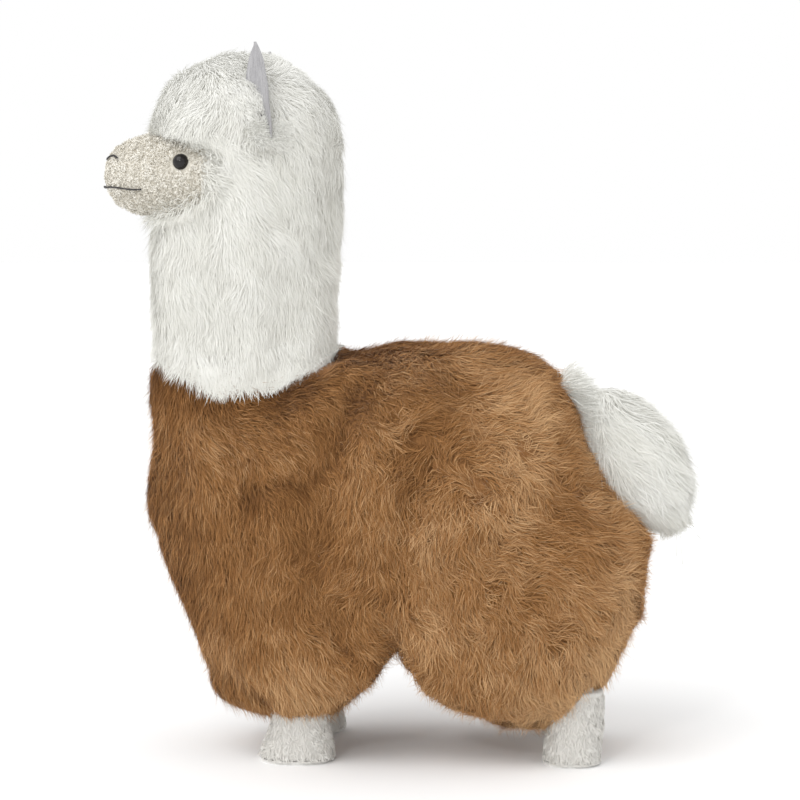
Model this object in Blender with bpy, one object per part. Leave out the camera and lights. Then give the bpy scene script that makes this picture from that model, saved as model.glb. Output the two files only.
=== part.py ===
"""Plush alpaca: wool covers sewn over stuffing, standing on four short shorn legs.

Metres, +Z up. The toy faces -X with its left side to -Y. The origin lies on the ground under the
middle of its box.
"""
import math

import bmesh
import bpy
import numpy as np
from mathutils import Matrix, Vector

# Air left between pieces that are sewn or packed against each other
GAP = 0.0003

# Trunk, over the wool
TRUNK_LENGTH = 0.189
TRUNK_HEIGHT = 0.140
TRUNK_WIDTH = 0.104
TRUNK_CLEARANCE = 0.0125
TRUNK_WALL = 0.012
TRUNK_SQUARENESS = 2.6
SKIRT_SQUARENESS = 4.6
TRUNK_RUMP_SPREAD = 0.08
SKIRT_PARTING_DEPTH = 0.009
SKIRT_PARTING_WIDTH = 0.011

# Neck and head, over the wool
NECK_SETBACK = 0.002
NECK_LENGTH = 0.0715
NECK_WIDTH = 0.062
HEAD_WIDTH = 0.063
NECK_SEAM_BELOW_BACK = 0.0055
HEAD_ABOVE_SEAM = 0.114
CROWN_HEIGHT = 0.040
CROWN_FULLNESS = 0.85
NECK_FLARE = 0.10
NECK_ROOT_DEPTH = 0.058
NECK_SQUARENESS = 2.2
NECK_SKIRT_DROP = 0.0105
NECK_SKIRT_FLARE = 0.0012
HOOD_WALL = 0.0095

# Shorn face
FACE_LENGTH = 0.045
FACE_HEIGHT = 0.035
FACE_WIDTH = 0.054
NOSE_HEIGHT = 0.015
NOSE_WIDTH = 0.014
NOSE_ROUNDING = 0.006
BROW_FULLNESS = 3.0
CHEEK_FULLNESS = 1.5
FACE_CENTRE_BELOW_TOP = 0.046
FACE_REACH = 0.0165
FACE_WALL = 0.0025
FACE_FILL_TAPER = 0.6

# Eyes: a bead with a shank, held by a washer behind the face
EYE_DIAMETER = 0.006
EYE_BULGE = 0.0022
EYE_BACK_FROM_NOSE = 0.0316
EYE_RISE = 0.0044
SHANK_DIAMETER = 0.0016
WASHER_DIAMETER = 0.008
WASHER_THICKNESS = 0.001
WASHER_DEPTH = 0.0006
SHANK_TAIL = 0.0006

# Sewing thread of the mouth and the nostrils
THREAD_DIAMETER = 0.0009
MOUTH_DROP = 0.0045
MOUTH_BACK_FROM_NOSE = 0.016
NOSTRIL_BACK_FROM_NOSE = 0.006
NOSTRIL_RISE = 0.0055
NOSTRIL_LENGTH = 0.0055
NOSTRIL_ARCH = 0.0012

# Ears
EAR_LENGTH = 0.036
EAR_WIDTH = 0.0125
EAR_THICKNESS = 0.0012
EAR_CUP = 0.0026
EAR_SPACING = 0.0555
EAR_BASE_BELOW_TOP = 0.0335
EAR_BACK_FROM_NECK_FRONT = 0.0488
EAR_SPLAY = math.radians(13.0)
EAR_TURN = math.radians(33.0)

# Legs
FORE_LEG_FROM_CHEST = 0.0608
HIND_LEG_FROM_RUMP = 0.0274
LEG_INSET_FROM_FLANK = 0.0255
LEG_WIDTH = 0.0200
FORE_FOOT_LENGTH = 0.0263
HIND_FOOT_LENGTH = 0.0196
FOOT_HEIGHT = 0.0075
TOE_REACH = 0.0012
LEG_TUCK = 0.0205
LEG_WALL = 0.0022
SOLE_THICKNESS = 0.0012

# Tail
TAIL_LENGTH = 0.067
TAIL_THICKNESS = 0.036
TAIL_WIDTH = 0.042
TAIL_ROOT_FROM_RUMP = 0.0245
TAIL_ROOT_BELOW_BACK = 0.0135
TAIL_DROOP = math.radians(57.0)

# How far the wool's locks stand out of the mean surface, and how wide they are
LOCK_DEPTH = 0.0011
LOCK_WIDTH = 0.021

# The trunk seen from its left side, as shares of its half length and half height from its centre,
# from the rump tuft over the back, down the chest and along the fore and hind skirts
TRUNK_OUTLINE = (
    (1.00, 0.01), (0.86, 0.22), (0.75, 0.50), (0.69, 0.76), (0.60, 0.90), (0.46, 0.97),
    (0.23, 1.00), (0.00, 0.985), (-0.23, 0.945), (-0.52, 0.82), (-0.78, 0.64), (-0.94, 0.42),
    (-0.97, 0.18), (-0.91, -0.15), (-0.82, -0.41), (-0.745, -0.63), (-0.70, -0.85),
    (-0.58, -0.95), (-0.34, -0.985), (-0.18, -0.90), (-0.04, -0.71), (0.025, -0.61),
    (0.10, -0.76), (0.29, -0.935), (0.57, -1.00), (0.74, -0.95), (0.84, -0.79),
    (0.90, -0.58), (0.985, -0.41), (0.97, -0.26), (1.01, -0.09),
)

TRUNK_CENTRE = np.array([0.0, 0.0, TRUNK_CLEARANCE + TRUNK_HEIGHT / 2])
CHEST_X = TRUNK_CENTRE[0] - TRUNK_LENGTH / 2
RUMP_X = TRUNK_CENTRE[0] + TRUNK_LENGTH / 2
BACK_HEIGHT = TRUNK_CLEARANCE + TRUNK_HEIGHT
LEG_TOP = TRUNK_CLEARANCE + LEG_TUCK
LEG_SPACING = TRUNK_WIDTH - 2 * LEG_INSET_FROM_FLANK
NECK_X = CHEST_X + NECK_SETBACK + NECK_LENGTH / 2
NECK_SEAM_HEIGHT = BACK_HEIGHT - NECK_SEAM_BELOW_BACK
HEAD_TOP = NECK_SEAM_HEIGHT + HEAD_ABOVE_SEAM
FACE_CENTRE_HEIGHT = HEAD_TOP - FACE_CENTRE_BELOW_TOP
NOSE_X = CHEST_X + NECK_SETBACK - FACE_REACH
FACE_BACK_X = NOSE_X + FACE_LENGTH

WOOL_BROWN = ("wool_brown", (0.42, 0.20, 0.08), 0.95)
WOOL_WHITE = ("wool_white", (0.84, 0.83, 0.79), 0.95)
PILE_CREAM = ("shorn_cream", (0.74, 0.69, 0.60), 0.95)
PILE_WHITE = ("shorn_white", (0.78, 0.77, 0.75), 0.95)
SUEDE_GREY = ("suede_grey", (0.52, 0.51, 0.52), 0.85)
BEAD_BLACK = ("bead_black", (0.01, 0.01, 0.012), 0.08)
THREAD_BLACK = ("thread_black", (0.02, 0.018, 0.018), 0.7)
FELT_WHITE = ("felt_white", (0.80, 0.79, 0.77), 0.9)
WASHER_PLASTIC = ("washer_plastic", (0.86, 0.86, 0.84), 0.4)
FIBRE_FILL = ("fibre_fill", (0.90, 0.90, 0.89), 1.0)


def clear_scene():
    for item in list(bpy.data.objects):
        bpy.data.objects.remove(item, do_unlink=True)


def finish(name, colour, roughness):
    """One Principled material, made once and shared."""
    material = bpy.data.materials.get(name)
    if material is None:
        material = bpy.data.materials.new(name)
        material.use_nodes = True
        shader = material.node_tree.nodes["Principled BSDF"]
        shader.inputs["Base Color"].default_value = (*colour, 1.0)
        shader.inputs["Roughness"].default_value = roughness
    return material


def loft(name, rings, look=None, ends='fan'):
    """A closed solid through rings of points, whose ends are fans, strips or joined to each other."""
    rings = np.asarray(rings, dtype=float)
    size = rings.shape[1]
    mesh = bmesh.new()
    rows = [[mesh.verts.new(point) for point in ring] for ring in rings]
    spans = list(zip(rows, rows[1:]))
    if ends == 'joined':
        spans.append((rows[-1], rows[0]))
    for low, high in spans:
        for k in range(size):
            after = (k + 1) % size
            mesh.faces.new((low[k], low[after], high[after]))
            mesh.faces.new((low[k], high[after], high[k]))
    for row, ring in ((rows[0], rings[0]), (rows[-1], rings[-1])):
        if ends == 'strip':
            for k in range(size // 2 - 1):
                mesh.faces.new((row[k], row[k + 1], row[-k - 2], row[-k - 1]))
        elif ends == 'fan':
            middle = mesh.verts.new(ring.mean(axis=0))
            for k in range(size):
                mesh.faces.new((middle, row[k], row[(k + 1) % size]))
    bmesh.ops.recalc_face_normals(mesh, faces=mesh.faces)
    data = bpy.data.meshes.new(name)
    mesh.to_mesh(data)
    mesh.free()
    data.shade_smooth()
    item = bpy.data.objects.new(name, data)
    bpy.context.scene.collection.objects.link(item)
    if look is None:
        item.hide_render = True
        item.display_type = 'WIRE'
    else:
        data.materials.append(finish(*look))
    return item


def combine(item, other, operation):
    step = item.modifiers.new(f"{operation.lower()} {other.name}", 'BOOLEAN')
    step.operation = operation
    step.solver = 'EXACT'
    step.object = other


def cut(item, *cutters):
    for cutter in cutters:
        combine(item, cutter, 'DIFFERENCE')


def join(item, *others):
    for other in others:
        combine(item, other, 'UNION')


def superellipse(count, power):
    """Cosine and sine of a squared-off circle, as two arrays."""
    angle = np.linspace(0.0, 2 * math.pi, count, endpoint=False)
    bend = 2.0 / power
    cosine = np.sign(np.cos(angle)) * np.abs(np.cos(angle)) ** bend
    sine = np.sign(np.sin(angle)) * np.abs(np.sin(angle)) ** bend
    return cosine, sine


def locks(points, hang):
    """Relief of the wool's locks, from -1 to 1: waves across the hang, drawn out along it."""
    hang = np.asarray(hang, dtype=float)
    hang /= np.linalg.norm(hang)
    total = np.zeros(points.shape[:-1])
    golden = math.pi * (3.0 - math.sqrt(5.0))
    waves = 7
    for k in range(waves):
        lift = 1.0 - 2.0 * (k + 0.5) / waves
        flat = math.sqrt(1.0 - lift * lift)
        way = np.array([flat * math.cos(k * golden), flat * math.sin(k * golden), lift])
        way -= 0.8 * hang * way.dot(hang)
        total += np.sin(points @ way * 2 * math.pi / LOCK_WIDTH + 1.7 * k)
    return total / math.sqrt(waves)


def outline_radius(angle):
    """Distance from the trunk's centre to its side outline, in metres, rounded over its corners."""
    shape = np.array(TRUNK_OUTLINE) * (TRUNK_LENGTH / 2, TRUNK_HEIGHT / 2)
    bearing = np.arctan2(shape[:, 1], shape[:, 0])
    order = np.argsort(bearing)
    reach = np.hypot(shape[:, 0], shape[:, 1])[order]
    total = np.zeros_like(angle)
    spread = np.radians((-4.0, -2.0, 0.0, 2.0, 4.0))
    weights = np.array((1.0, 3.0, 4.0, 3.0, 1.0)) / 12.0
    for step, weight in zip(spread, weights):
        total += weight * np.interp(angle + step, bearing[order], reach, period=2 * math.pi)
    return total


def trunk_rings(grow, around, across, relief=LOCK_DEPTH):
    """The side outline carried out to each flank, shrinking as a squared-off ellipse does."""
    angle = np.linspace(0.0, 2 * math.pi, around, endpoint=False)
    flank = np.linspace(-math.pi / 2, math.pi / 2, across + 2)[1:-1, None]
    low = np.clip(-np.sin(angle), 0.0, 1.0)
    bend = 2.0 / (TRUNK_SQUARENESS + (SKIRT_SQUARENESS - TRUNK_SQUARENESS) * low)
    inward = np.cos(flank) ** bend
    outward = np.sign(np.sin(flank)) * np.abs(np.sin(flank)) ** bend
    reach = outline_radius(angle) + grow
    x = inward * reach * np.cos(angle)
    z = inward * reach * np.sin(angle)
    spread = 1.0 + TRUNK_RUMP_SPREAD * x / (TRUNK_LENGTH / 2)
    y = outward * (TRUNK_WIDTH / 2 + grow) * spread
    low = np.clip(-z / (TRUNK_HEIGHT / 2) - 0.35, 0.0, 1.0)
    z = z + SKIRT_PARTING_DEPTH * low * np.exp(-(y / SKIRT_PARTING_WIDTH) ** 2)
    rings = np.stack((x, y, z), axis=-1)
    outwards = rings / np.linalg.norm(rings, axis=-1, keepdims=True)
    rings = rings + TRUNK_CENTRE
    if relief:
        rings = rings + outwards * (relief * locks(rings, (0.25, 0.0, -1.0)))[..., None]
    return rings


def neck_ring(height, length, width, count):
    cosine, sine = superellipse(count, NECK_SQUARENESS)
    x = NECK_X + length / 2 * cosine
    return np.stack((x, width / 2 * sine, np.full(count, height)), axis=-1)


def neck_rings(grow, foot, top, count, steps=6, relief=0.0):
    """The neck as a column, a little wider where it runs down into the trunk."""
    rings = []
    run = NECK_SEAM_HEIGHT - TRUNK_CENTRE[2]
    for height in np.linspace(foot, top, steps):
        flare = NECK_FLARE * max(0.0, (NECK_SEAM_HEIGHT - height) / run) ** 2
        length = NECK_LENGTH * (1.0 + 0.4 * flare) + 2 * grow
        rings.append(neck_ring(height, length, NECK_WIDTH * (1.0 + flare) + 2 * grow, count))
    rings = np.array(rings)
    if relief:
        outwards = rings - np.array([NECK_X, 0.0, 0.0])
        outwards[..., 2] = 0.0
        outwards /= np.linalg.norm(outwards, axis=-1, keepdims=True)
        fade = np.linspace(1.0, 0.0, steps)[:, None]
        rings = rings + outwards * (relief * fade * locks(rings, (0.0, 0.0, -1.0)))[..., None]
    return rings


def hood_rings(grow, count, relief=LOCK_DEPTH):
    """Neck column and domed crown, on a skirt of locks that hangs over the neck seam."""
    cosine, sine = superellipse(count, NECK_SQUARENESS)
    bearing = np.arctan2(sine, cosine)
    wave = 0.5 * np.sin(5 * bearing + 0.6) + 0.3 * np.sin(9 * bearing + 2.1)
    wave = wave + 0.2 * np.sin(14 * bearing)
    drop = NECK_SKIRT_DROP * (0.35 + 0.75 * sine ** 2 + 0.25 * wave)
    hem = NECK_SEAM_HEIGHT - drop - 3 * grow
    inset = 1.5 * HOOD_WALL
    inner = neck_ring(NECK_SEAM_HEIGHT - grow, NECK_LENGTH - inset, NECK_WIDTH - inset, count)
    flare = 2 * (NECK_SKIRT_FLARE + grow)
    skirt = neck_ring(0.0, NECK_LENGTH + flare, NECK_WIDTH + flare, count)
    skirt[:, 2] = hem
    shoulder = HEAD_TOP - CROWN_HEIGHT
    column = []
    for share in np.linspace(0.0, 1.0, 7)[1:]:
        width = NECK_WIDTH + (HEAD_WIDTH - NECK_WIDTH) * share ** 2 + 2 * grow
        ring = neck_ring(0.0, NECK_LENGTH + 2 * grow, width, count)
        ring[:, 2] = hem + (shoulder - hem) * share
        column.append(ring)
    crown = []
    for turn in np.linspace(0.0, math.pi / 2, 8)[1:-1]:
        share = math.cos(turn) ** CROWN_FULLNESS
        height = shoulder + (CROWN_HEIGHT + grow) * math.sin(turn)
        length = (NECK_LENGTH + 2 * grow) * share
        crown.append(neck_ring(height, length, (HEAD_WIDTH + 2 * grow) * share, count))
    middle = inner * (0.5, 0.5, 1.0) + (NECK_X / 2, 0.0, 0.0)
    rings = np.array([middle, inner, skirt, *column, *crown])
    outwards = rings - np.array([NECK_X, 0.0, 0.0])
    outwards[..., 2] = np.maximum(0.0, rings[..., 2] - shoulder)
    outwards /= np.linalg.norm(outwards, axis=-1, keepdims=True)
    outwards[:3] = 0.0
    return rings + outwards * (relief * locks(rings, (0.0, 0.0, -1.0)))[..., None]


def hood_core_rings(grow, foot, count):
    """The hollow of the hood, from below the neck seam to the crown."""
    shoulder = HEAD_TOP - CROWN_HEIGHT
    length = NECK_LENGTH + 2 * grow
    rings = [neck_ring(foot, length, NECK_WIDTH + 2 * grow, count)]
    for share in np.linspace(0.0, 1.0, 4)[1:]:
        width = NECK_WIDTH + (HEAD_WIDTH - NECK_WIDTH) * share ** 2 + 2 * grow
        base = max(foot, NECK_SEAM_HEIGHT)
        rings.append(neck_ring(base + (shoulder - base) * share, length, width, count))
    for turn in np.linspace(0.0, math.pi / 2, 6)[1:-1]:
        share = math.cos(turn) ** CROWN_FULLNESS
        height = shoulder + (CROWN_HEIGHT + grow) * math.sin(turn)
        width = (HEAD_WIDTH + 2 * grow) * share
        rings.append(neck_ring(height, length * share, width, count))
    return np.array(rings)


def face_halves(back, grow):
    """Half height and half width of the face at a distance back from the nose."""
    share = min(back / FACE_LENGTH, 1.0)
    near = min(back / NOSE_ROUNDING, 1.0)
    blunt = math.sqrt(1.0 - (1.0 - near) ** 2)
    height = NOSE_HEIGHT * blunt + (FACE_HEIGHT - NOSE_HEIGHT) * (1 - (1 - share) ** BROW_FULLNESS)
    width = NOSE_WIDTH * blunt + (FACE_WIDTH - NOSE_WIDTH) * (1 - (1 - share) ** CHEEK_FULLNESS)
    return height / 2 + grow, width / 2 + grow


def face_point(back, angle, grow):
    """A point of the face: angle 0 is the left cheek, a quarter turn the brow."""
    height, width = face_halves(back, grow)
    z = FACE_CENTRE_HEIGHT + height * math.sin(angle)
    return Vector((NOSE_X + back, -width * math.cos(angle), z))


def face_normal(back, angle):
    step = 0.0004
    along = face_point(back + step, angle, 0.0) - face_point(back - step, angle, 0.0)
    round_it = face_point(back, angle + 0.02, 0.0) - face_point(back, angle - 0.02, 0.0)
    normal = along.cross(round_it).normalized()
    outwards = face_point(back, angle, 0.0) - Vector((NOSE_X + back, 0.0, FACE_CENTRE_HEIGHT))
    return normal if normal.dot(outwards) > 0 else -normal


def face_rings(grow, count, steps, extra=0.0, taper=1.0):
    """Blunt nose flaring back into the cheeks, run on past its end by a tapered ring if asked."""
    rings = []
    angles = np.linspace(0.0, 2 * math.pi, count, endpoint=False)
    for share in np.linspace(0.0, 1.0, steps + 1)[1:]:
        ring = [face_point(FACE_LENGTH * share ** 1.9, angle, grow) for angle in angles]
        rings.append([(point.x - grow * (1.0 - share), point.y, point.z) for point in ring])
    rings = np.array(rings)
    middle = np.array([0.0, 0.0, FACE_CENTRE_HEIGHT])
    if extra:
        last = (rings[-1] - middle) * (1.0, taper, taper) + middle + (extra, 0.0, 0.0)
        halfway = (1.0 + taper) / 2
        rings[-1] = (rings[-1] - middle) * (1.0, halfway, halfway) + middle
        rings = np.concatenate((rings, last[None]))
    return rings


def window_rings(count=28):
    """The opening in the hood that bares the face, run through from cheek to cheek."""
    cosine, sine = superellipse(count, 2.6)
    half_length = FACE_BACK_X - NOSE_X
    reach = HEAD_WIDTH
    rings = []
    for y in (-reach, reach):
        x = NOSE_X + half_length * cosine
        z = FACE_CENTRE_HEIGHT + FACE_HEIGHT / 2 * sine
        rings.append(np.stack((x, np.full(count, y), z), axis=-1))
    return np.array(rings)


def leg_rings(centre_x, foot_length, side, grow, foot, top, count=16):
    """A leg from its foot up, longer at the foot and pushed forward at the toe."""
    cosine, sine = superellipse(count, 2.4)
    heights = (foot, FOOT_HEIGHT * 0.45, FOOT_HEIGHT, FOOT_HEIGHT * 1.9, top)
    shares = (0.93, 1.0, 0.62, 0.06, 0.0)
    rings = []
    for height, share in zip(heights, shares):
        length = LEG_WIDTH + (foot_length - LEG_WIDTH) * share
        x = centre_x - TOE_REACH * share + (length / 2 + grow) * cosine
        y = side * LEG_SPACING / 2 + (LEG_WIDTH / 2 * (1.0 + 0.06 * share) + grow) * sine
        rings.append(np.stack((x, y, np.full(count, height)), axis=-1))
    return np.array(rings)


def tail_rings(count=24, steps=10):
    """A drooping tuft, fullest past its middle, on an axis that runs down the rump."""
    axis = np.array([math.cos(TAIL_DROOP), 0.0, -math.sin(TAIL_DROOP)])
    upward = np.array([math.sin(TAIL_DROOP), 0.0, math.cos(TAIL_DROOP)])
    sideways = np.array([0.0, 1.0, 0.0])
    root = np.array([RUMP_X - TAIL_ROOT_FROM_RUMP, 0.0, BACK_HEIGHT - TAIL_ROOT_BELOW_BACK])
    cosine, sine = superellipse(count, 2.1)
    rings = []
    for share in np.linspace(0.0, 1.0, steps + 2)[1:-1]:
        full = math.sin(math.pi * share ** 1.15) ** 0.62
        middle = root + axis * (TAIL_LENGTH * share)
        ring = middle + np.outer(cosine, upward) * (TAIL_THICKNESS / 2 * full)
        rings.append(ring + np.outer(sine, sideways) * (TAIL_WIDTH / 2 * full))
    rings = np.array(rings)
    outwards = rings - rings.mean(axis=1, keepdims=True)
    outwards /= np.linalg.norm(outwards, axis=-1, keepdims=True)
    return rings + outwards * (LOCK_DEPTH * locks(rings, (1.0, 0.0, -0.35)))[..., None]


def ear_rings(side, grow, steps=10, across=6):
    """A cupped leaf on a short tab, opened forward and outward."""
    spread = np.linspace(-1.0, 1.0, across)
    lean = Matrix.Rotation(side * EAR_SPLAY, 3, 'X')
    turn = Matrix.Rotation(-side * EAR_TURN, 3, 'Z')
    stand = np.array(turn @ lean)
    base_x = CHEST_X + NECK_SETBACK + EAR_BACK_FROM_NECK_FRONT
    base = np.array([base_x, side * EAR_SPACING / 2, HEAD_TOP - EAR_BASE_BELOW_TOP])
    rings = []
    for share in np.linspace(0.0, 1.0, steps):
        swell = max(math.sin(math.pi * (0.16 + 0.84 * share)), 0.02) ** 0.75
        half = EAR_WIDTH / 2 * swell + grow
        dish = EAR_CUP * swell * spread ** 2
        skin = EAR_THICKNESS / 2 * np.sqrt(np.clip(1.15 - spread ** 2, 0.1, 1.0)) + grow
        rise = -grow + (EAR_LENGTH + 2 * grow) * share
        front = np.stack((-dish - skin, half * spread, np.full(across, rise)), axis=-1)
        rear = np.stack((-dish + skin, half * spread, np.full(across, rise)), axis=-1)[::-1]
        rings.append(np.concatenate((front, rear)) @ stand.T + base)
    return np.array(rings)


def disc_rings(profile, count):
    """A turned shape about +Z from (radius, height) pairs, bottom to top."""
    angle = np.linspace(0.0, 2 * math.pi, count, endpoint=False)
    rings = []
    for radius, height in profile:
        x = radius * np.cos(angle)
        rings.append(np.stack((x, radius * np.sin(angle), np.full(count, height)), axis=-1))
    return np.array(rings)


def eye_profile(grow):
    """Shank up to the flat back of the bead, then the bead's dome."""
    depth = FACE_WALL + WASHER_DEPTH + GAP + WASHER_THICKNESS + SHANK_TAIL
    shank = SHANK_DIAMETER / 2 + grow
    sunk = -0.3
    profile = [(shank, -depth - grow), (shank, EYE_BULGE * sunk - grow)]
    for share in np.linspace(sunk, 0.97, 6):
        lift = EYE_BULGE * share
        radius = (EYE_DIAMETER / 2) * math.sqrt(1.0 - share * share)
        profile.append((radius + grow, lift + grow * share))
    return profile


def stitch(name, points, side_normals):
    """A thread laid on the pile: a round cord along a smooth line of points."""
    radius = THREAD_DIAMETER / 2
    curve = bpy.data.curves.new(name, 'CURVE')
    curve.dimensions = '3D'
    curve.bevel_depth = radius
    curve.bevel_resolution = 1
    curve.use_fill_caps = True
    spline = curve.splines.new('POLY')
    spline.points.add(len(points) - 1)
    for knot, point, normal in zip(spline.points, points, side_normals):
        knot.co = (*(point + normal * (radius + 2 * GAP)), 1.0)
    curve.materials.append(finish(*THREAD_BLACK))
    item = bpy.data.objects.new(name, curve)
    bpy.context.scene.collection.objects.link(item)
    return item


def put_on_face(item, back, angle, lift=0.0):
    normal = face_normal(back, angle)
    item.rotation_euler = normal.to_track_quat('Z', 'Y').to_euler()
    item.location = face_point(back, angle, 0.0) + normal * lift
    return item


def eye_angle():
    height, _ = face_halves(EYE_BACK_FROM_NOSE, 0.0)
    return math.asin(EYE_RISE / height)


def make_body():
    cover = loft("body_cover", trunk_rings(0.0, 56, 13), WOOL_BROWN)
    neck_foot = NECK_SEAM_HEIGHT - NECK_ROOT_DEPTH
    column = neck_rings(0.0, neck_foot, NECK_SEAM_HEIGHT - NECK_SKIRT_DROP, 28, relief=LOCK_DEPTH)
    inset = HOOD_WALL
    shoulder = neck_ring(NECK_SEAM_HEIGHT + GAP, NECK_LENGTH - inset, NECK_WIDTH - inset, 28)
    join(cover, loft("neck_base", [*column, shoulder]))
    cut(cover, loft("hood_envelope", hood_rings(GAP, 32)))
    cut(cover, loft("trunk_hollow", trunk_rings(-TRUNK_WALL, 28, 8, 0.0)))
    above_seam = NECK_SEAM_HEIGHT + HOOD_WALL
    cut(cover, loft("neck_hollow", neck_rings(-HOOD_WALL, neck_foot, above_seam, 20)))

    inset = TRUNK_WALL + GAP
    filling = loft("body_stuffing", trunk_rings(-inset, 28, 8, 0.0), FIBRE_FILL)
    join(filling, loft("neck_fill", neck_rings(-HOOD_WALL - GAP, neck_foot, NECK_SEAM_HEIGHT, 20)))
    return cover, filling


def make_head():
    hood = loft("neck_head_cover", hood_rings(0.0, 32), WOOL_WHITE)
    below_seam = NECK_SEAM_HEIGHT - HOOD_WALL
    cut(hood, loft("hood_hollow", hood_core_rings(-HOOD_WALL, below_seam, 16)))
    cut(hood, loft("face_window", window_rings()))
    face_envelope = loft("face_envelope", face_rings(GAP, 24, 8, extra=GAP))
    cut(hood, face_envelope)

    face = loft("face_cover", face_rings(0.0, 24, 8), PILE_CREAM)
    cut(face, loft("face_hollow", face_rings(-FACE_WALL, 16, 5, extra=FACE_WALL)))

    fill_foot = NECK_SEAM_HEIGHT + GAP
    filling = loft("head_stuffing", hood_core_rings(-HOOD_WALL - GAP, fill_foot, 16), FIBRE_FILL)
    cut(filling, face_envelope)
    inset = -FACE_WALL - GAP
    neck_down = face_rings(inset, 16, 5, extra=FACE_WALL, taper=FACE_FILL_TAPER)
    join(filling, loft("face_fill", neck_down))
    return hood, face, filling


def make_eyes(face, filling):
    washer_top = -FACE_WALL - WASHER_DEPTH - GAP
    washer_low = washer_top - WASHER_THICKNESS
    for name, angle in (("left", eye_angle()), ("right", math.pi - eye_angle())):
        eye = loft(f"{name}_eye", disc_rings(eye_profile(0.0), 16), BEAD_BLACK)
        put_on_face(eye, EYE_BACK_FROM_NOSE, angle)
        socket = loft(f"{name}_eye_socket", disc_rings(eye_profile(GAP), 16))
        put_on_face(socket, EYE_BACK_FROM_NOSE, angle)
        rim = WASHER_DIAMETER / 2
        bore = SHANK_DIAMETER / 2 + GAP
        section = ((bore, washer_low), (rim, washer_low), (rim, washer_top), (bore, washer_top))
        turned = np.swapaxes(disc_rings(section, 16), 0, 1)
        washer = loft(f"{name}_eye_washer", turned, WASHER_PLASTIC, ends='joined')
        put_on_face(washer, EYE_BACK_FROM_NOSE, angle)
        section = ((rim + GAP, washer_low - GAP), (rim + GAP, washer_top + GAP))
        pocket = loft(f"{name}_washer_pocket", disc_rings(section, 16))
        put_on_face(pocket, EYE_BACK_FROM_NOSE, angle)
        cut(face, socket, pocket)
        section = ((rim + GAP, washer_low - SHANK_TAIL - 2 * GAP), (rim + GAP, -FACE_WALL / 2))
        well = loft(f"{name}_eye_well", disc_rings(section, 16))
        put_on_face(well, EYE_BACK_FROM_NOSE, angle)
        cut(filling, well)


def thread_points(ys, rises):
    """Where the face passes each (y, rise above its centre), and the way it faces there."""
    points = []
    normals = []
    for y, rise in zip(ys, rises):
        near, far = 0.0, FACE_LENGTH
        for _ in range(40):
            back = (near + far) / 2
            height, width = face_halves(back, 0.0)
            if (y / width) ** 2 + (rise / height) ** 2 > 1.0:
                near = back
            else:
                far = back
        height, width = face_halves(back, 0.0)
        angle = math.atan2(rise / height, -y / width)
        points.append(face_point(back, angle, 0.0))
        normals.append(face_normal(back, angle))
    return points, normals


def make_stitches():
    _, corner = face_halves(MOUTH_BACK_FROM_NOSE, 0.0)
    reach = np.linspace(-1.0, 1.0, 25)
    mouth_y = 0.95 * corner * np.sign(reach) * np.abs(reach) ** 0.8
    out = np.abs(reach)
    mouth_rise = -MOUTH_DROP * (0.86 + 0.14 * out + 0.08 * np.sin(3 * math.pi * out))
    stitch("mouth_stitch", *thread_points(mouth_y, mouth_rise))
    _, wing = face_halves(NOSTRIL_BACK_FROM_NOSE, 0.0)
    for name, side in (("left_nostril_stitch", -1.0), ("right_nostril_stitch", 1.0)):
        reach = np.linspace(0.0, 1.0, 9)
        nostril_y = side * (0.42 * wing + NOSTRIL_LENGTH * reach)
        nostril_rise = NOSTRIL_RISE + NOSTRIL_ARCH * np.sin(math.pi * reach)
        stitch(name, *thread_points(nostril_y, nostril_rise))


def make_ears(hood, filling):
    for name, side in (("left_ear", -1.0), ("right_ear", 1.0)):
        loft(name, ear_rings(side, 0.0), SUEDE_GREY, ends='strip')
        slot = loft(f"{name}_slot", ear_rings(side, GAP), ends='strip')
        cut(hood, slot)
        cut(filling, slot)


def make_legs(cover, filling):
    fore = ("fore", CHEST_X + FORE_LEG_FROM_CHEST, FORE_FOOT_LENGTH)
    hind = ("hind", RUMP_X - HIND_LEG_FROM_RUMP, HIND_FOOT_LENGTH)
    for end, centre_x, foot_length in (fore, hind):
        for hand, side in (("left", -1.0), ("right", 1.0)):
            name = f"{hand}_{end}"
            foot = SOLE_THICKNESS + GAP
            place = (centre_x, foot_length, side)
            leg = loft(f"{name}_leg_cover", leg_rings(*place, 0.0, foot, LEG_TOP), PILE_WHITE)
            bore = leg_rings(*place, -LEG_WALL, foot, LEG_TOP)
            bore[0, :, 2] -= LEG_WALL
            bore[-1, :, 2] += LEG_WALL
            cut(leg, loft(f"{name}_leg_bore", bore))
            inset = -LEG_WALL - GAP
            loft(f"{name}_leg_stuffing", leg_rings(*place, inset, foot, LEG_TOP), FIBRE_FILL)
            sole = leg_rings(*place, 0.0, foot, LEG_TOP)[:2].copy()
            sole[0, :, 2] = 0.0
            sole[1] = sole[0] + (0.0, 0.0, SOLE_THICKNESS)
            loft(f"{name}_sole", sole, FELT_WHITE)
            clearance = loft(f"{name}_leg_envelope", leg_rings(*place, GAP, 0.0, LEG_TOP + GAP))
            cut(cover, clearance)
            cut(filling, clearance)


def make_tail():
    tail = loft("tail", tail_rings(), WOOL_WHITE)
    cut(tail, loft("rump_envelope", trunk_rings(GAP, 56, 13)))


def centre_on_ground():
    """Shifts the whole toy so that the origin lies under the middle of its box."""
    bpy.context.view_layer.update()
    graph = bpy.context.evaluated_depsgraph_get()
    low = math.inf
    high = -math.inf
    for item in bpy.context.scene.objects:
        if not item.hide_render:
            final = item.evaluated_get(graph)
            reach = [(item.matrix_world @ vertex.co).x for vertex in final.to_mesh().vertices]
            final.to_mesh_clear()
            low = min(low, *reach)
            high = max(high, *reach)
    for item in bpy.context.scene.objects:
        item.location.x -= (low + high) / 2


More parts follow.
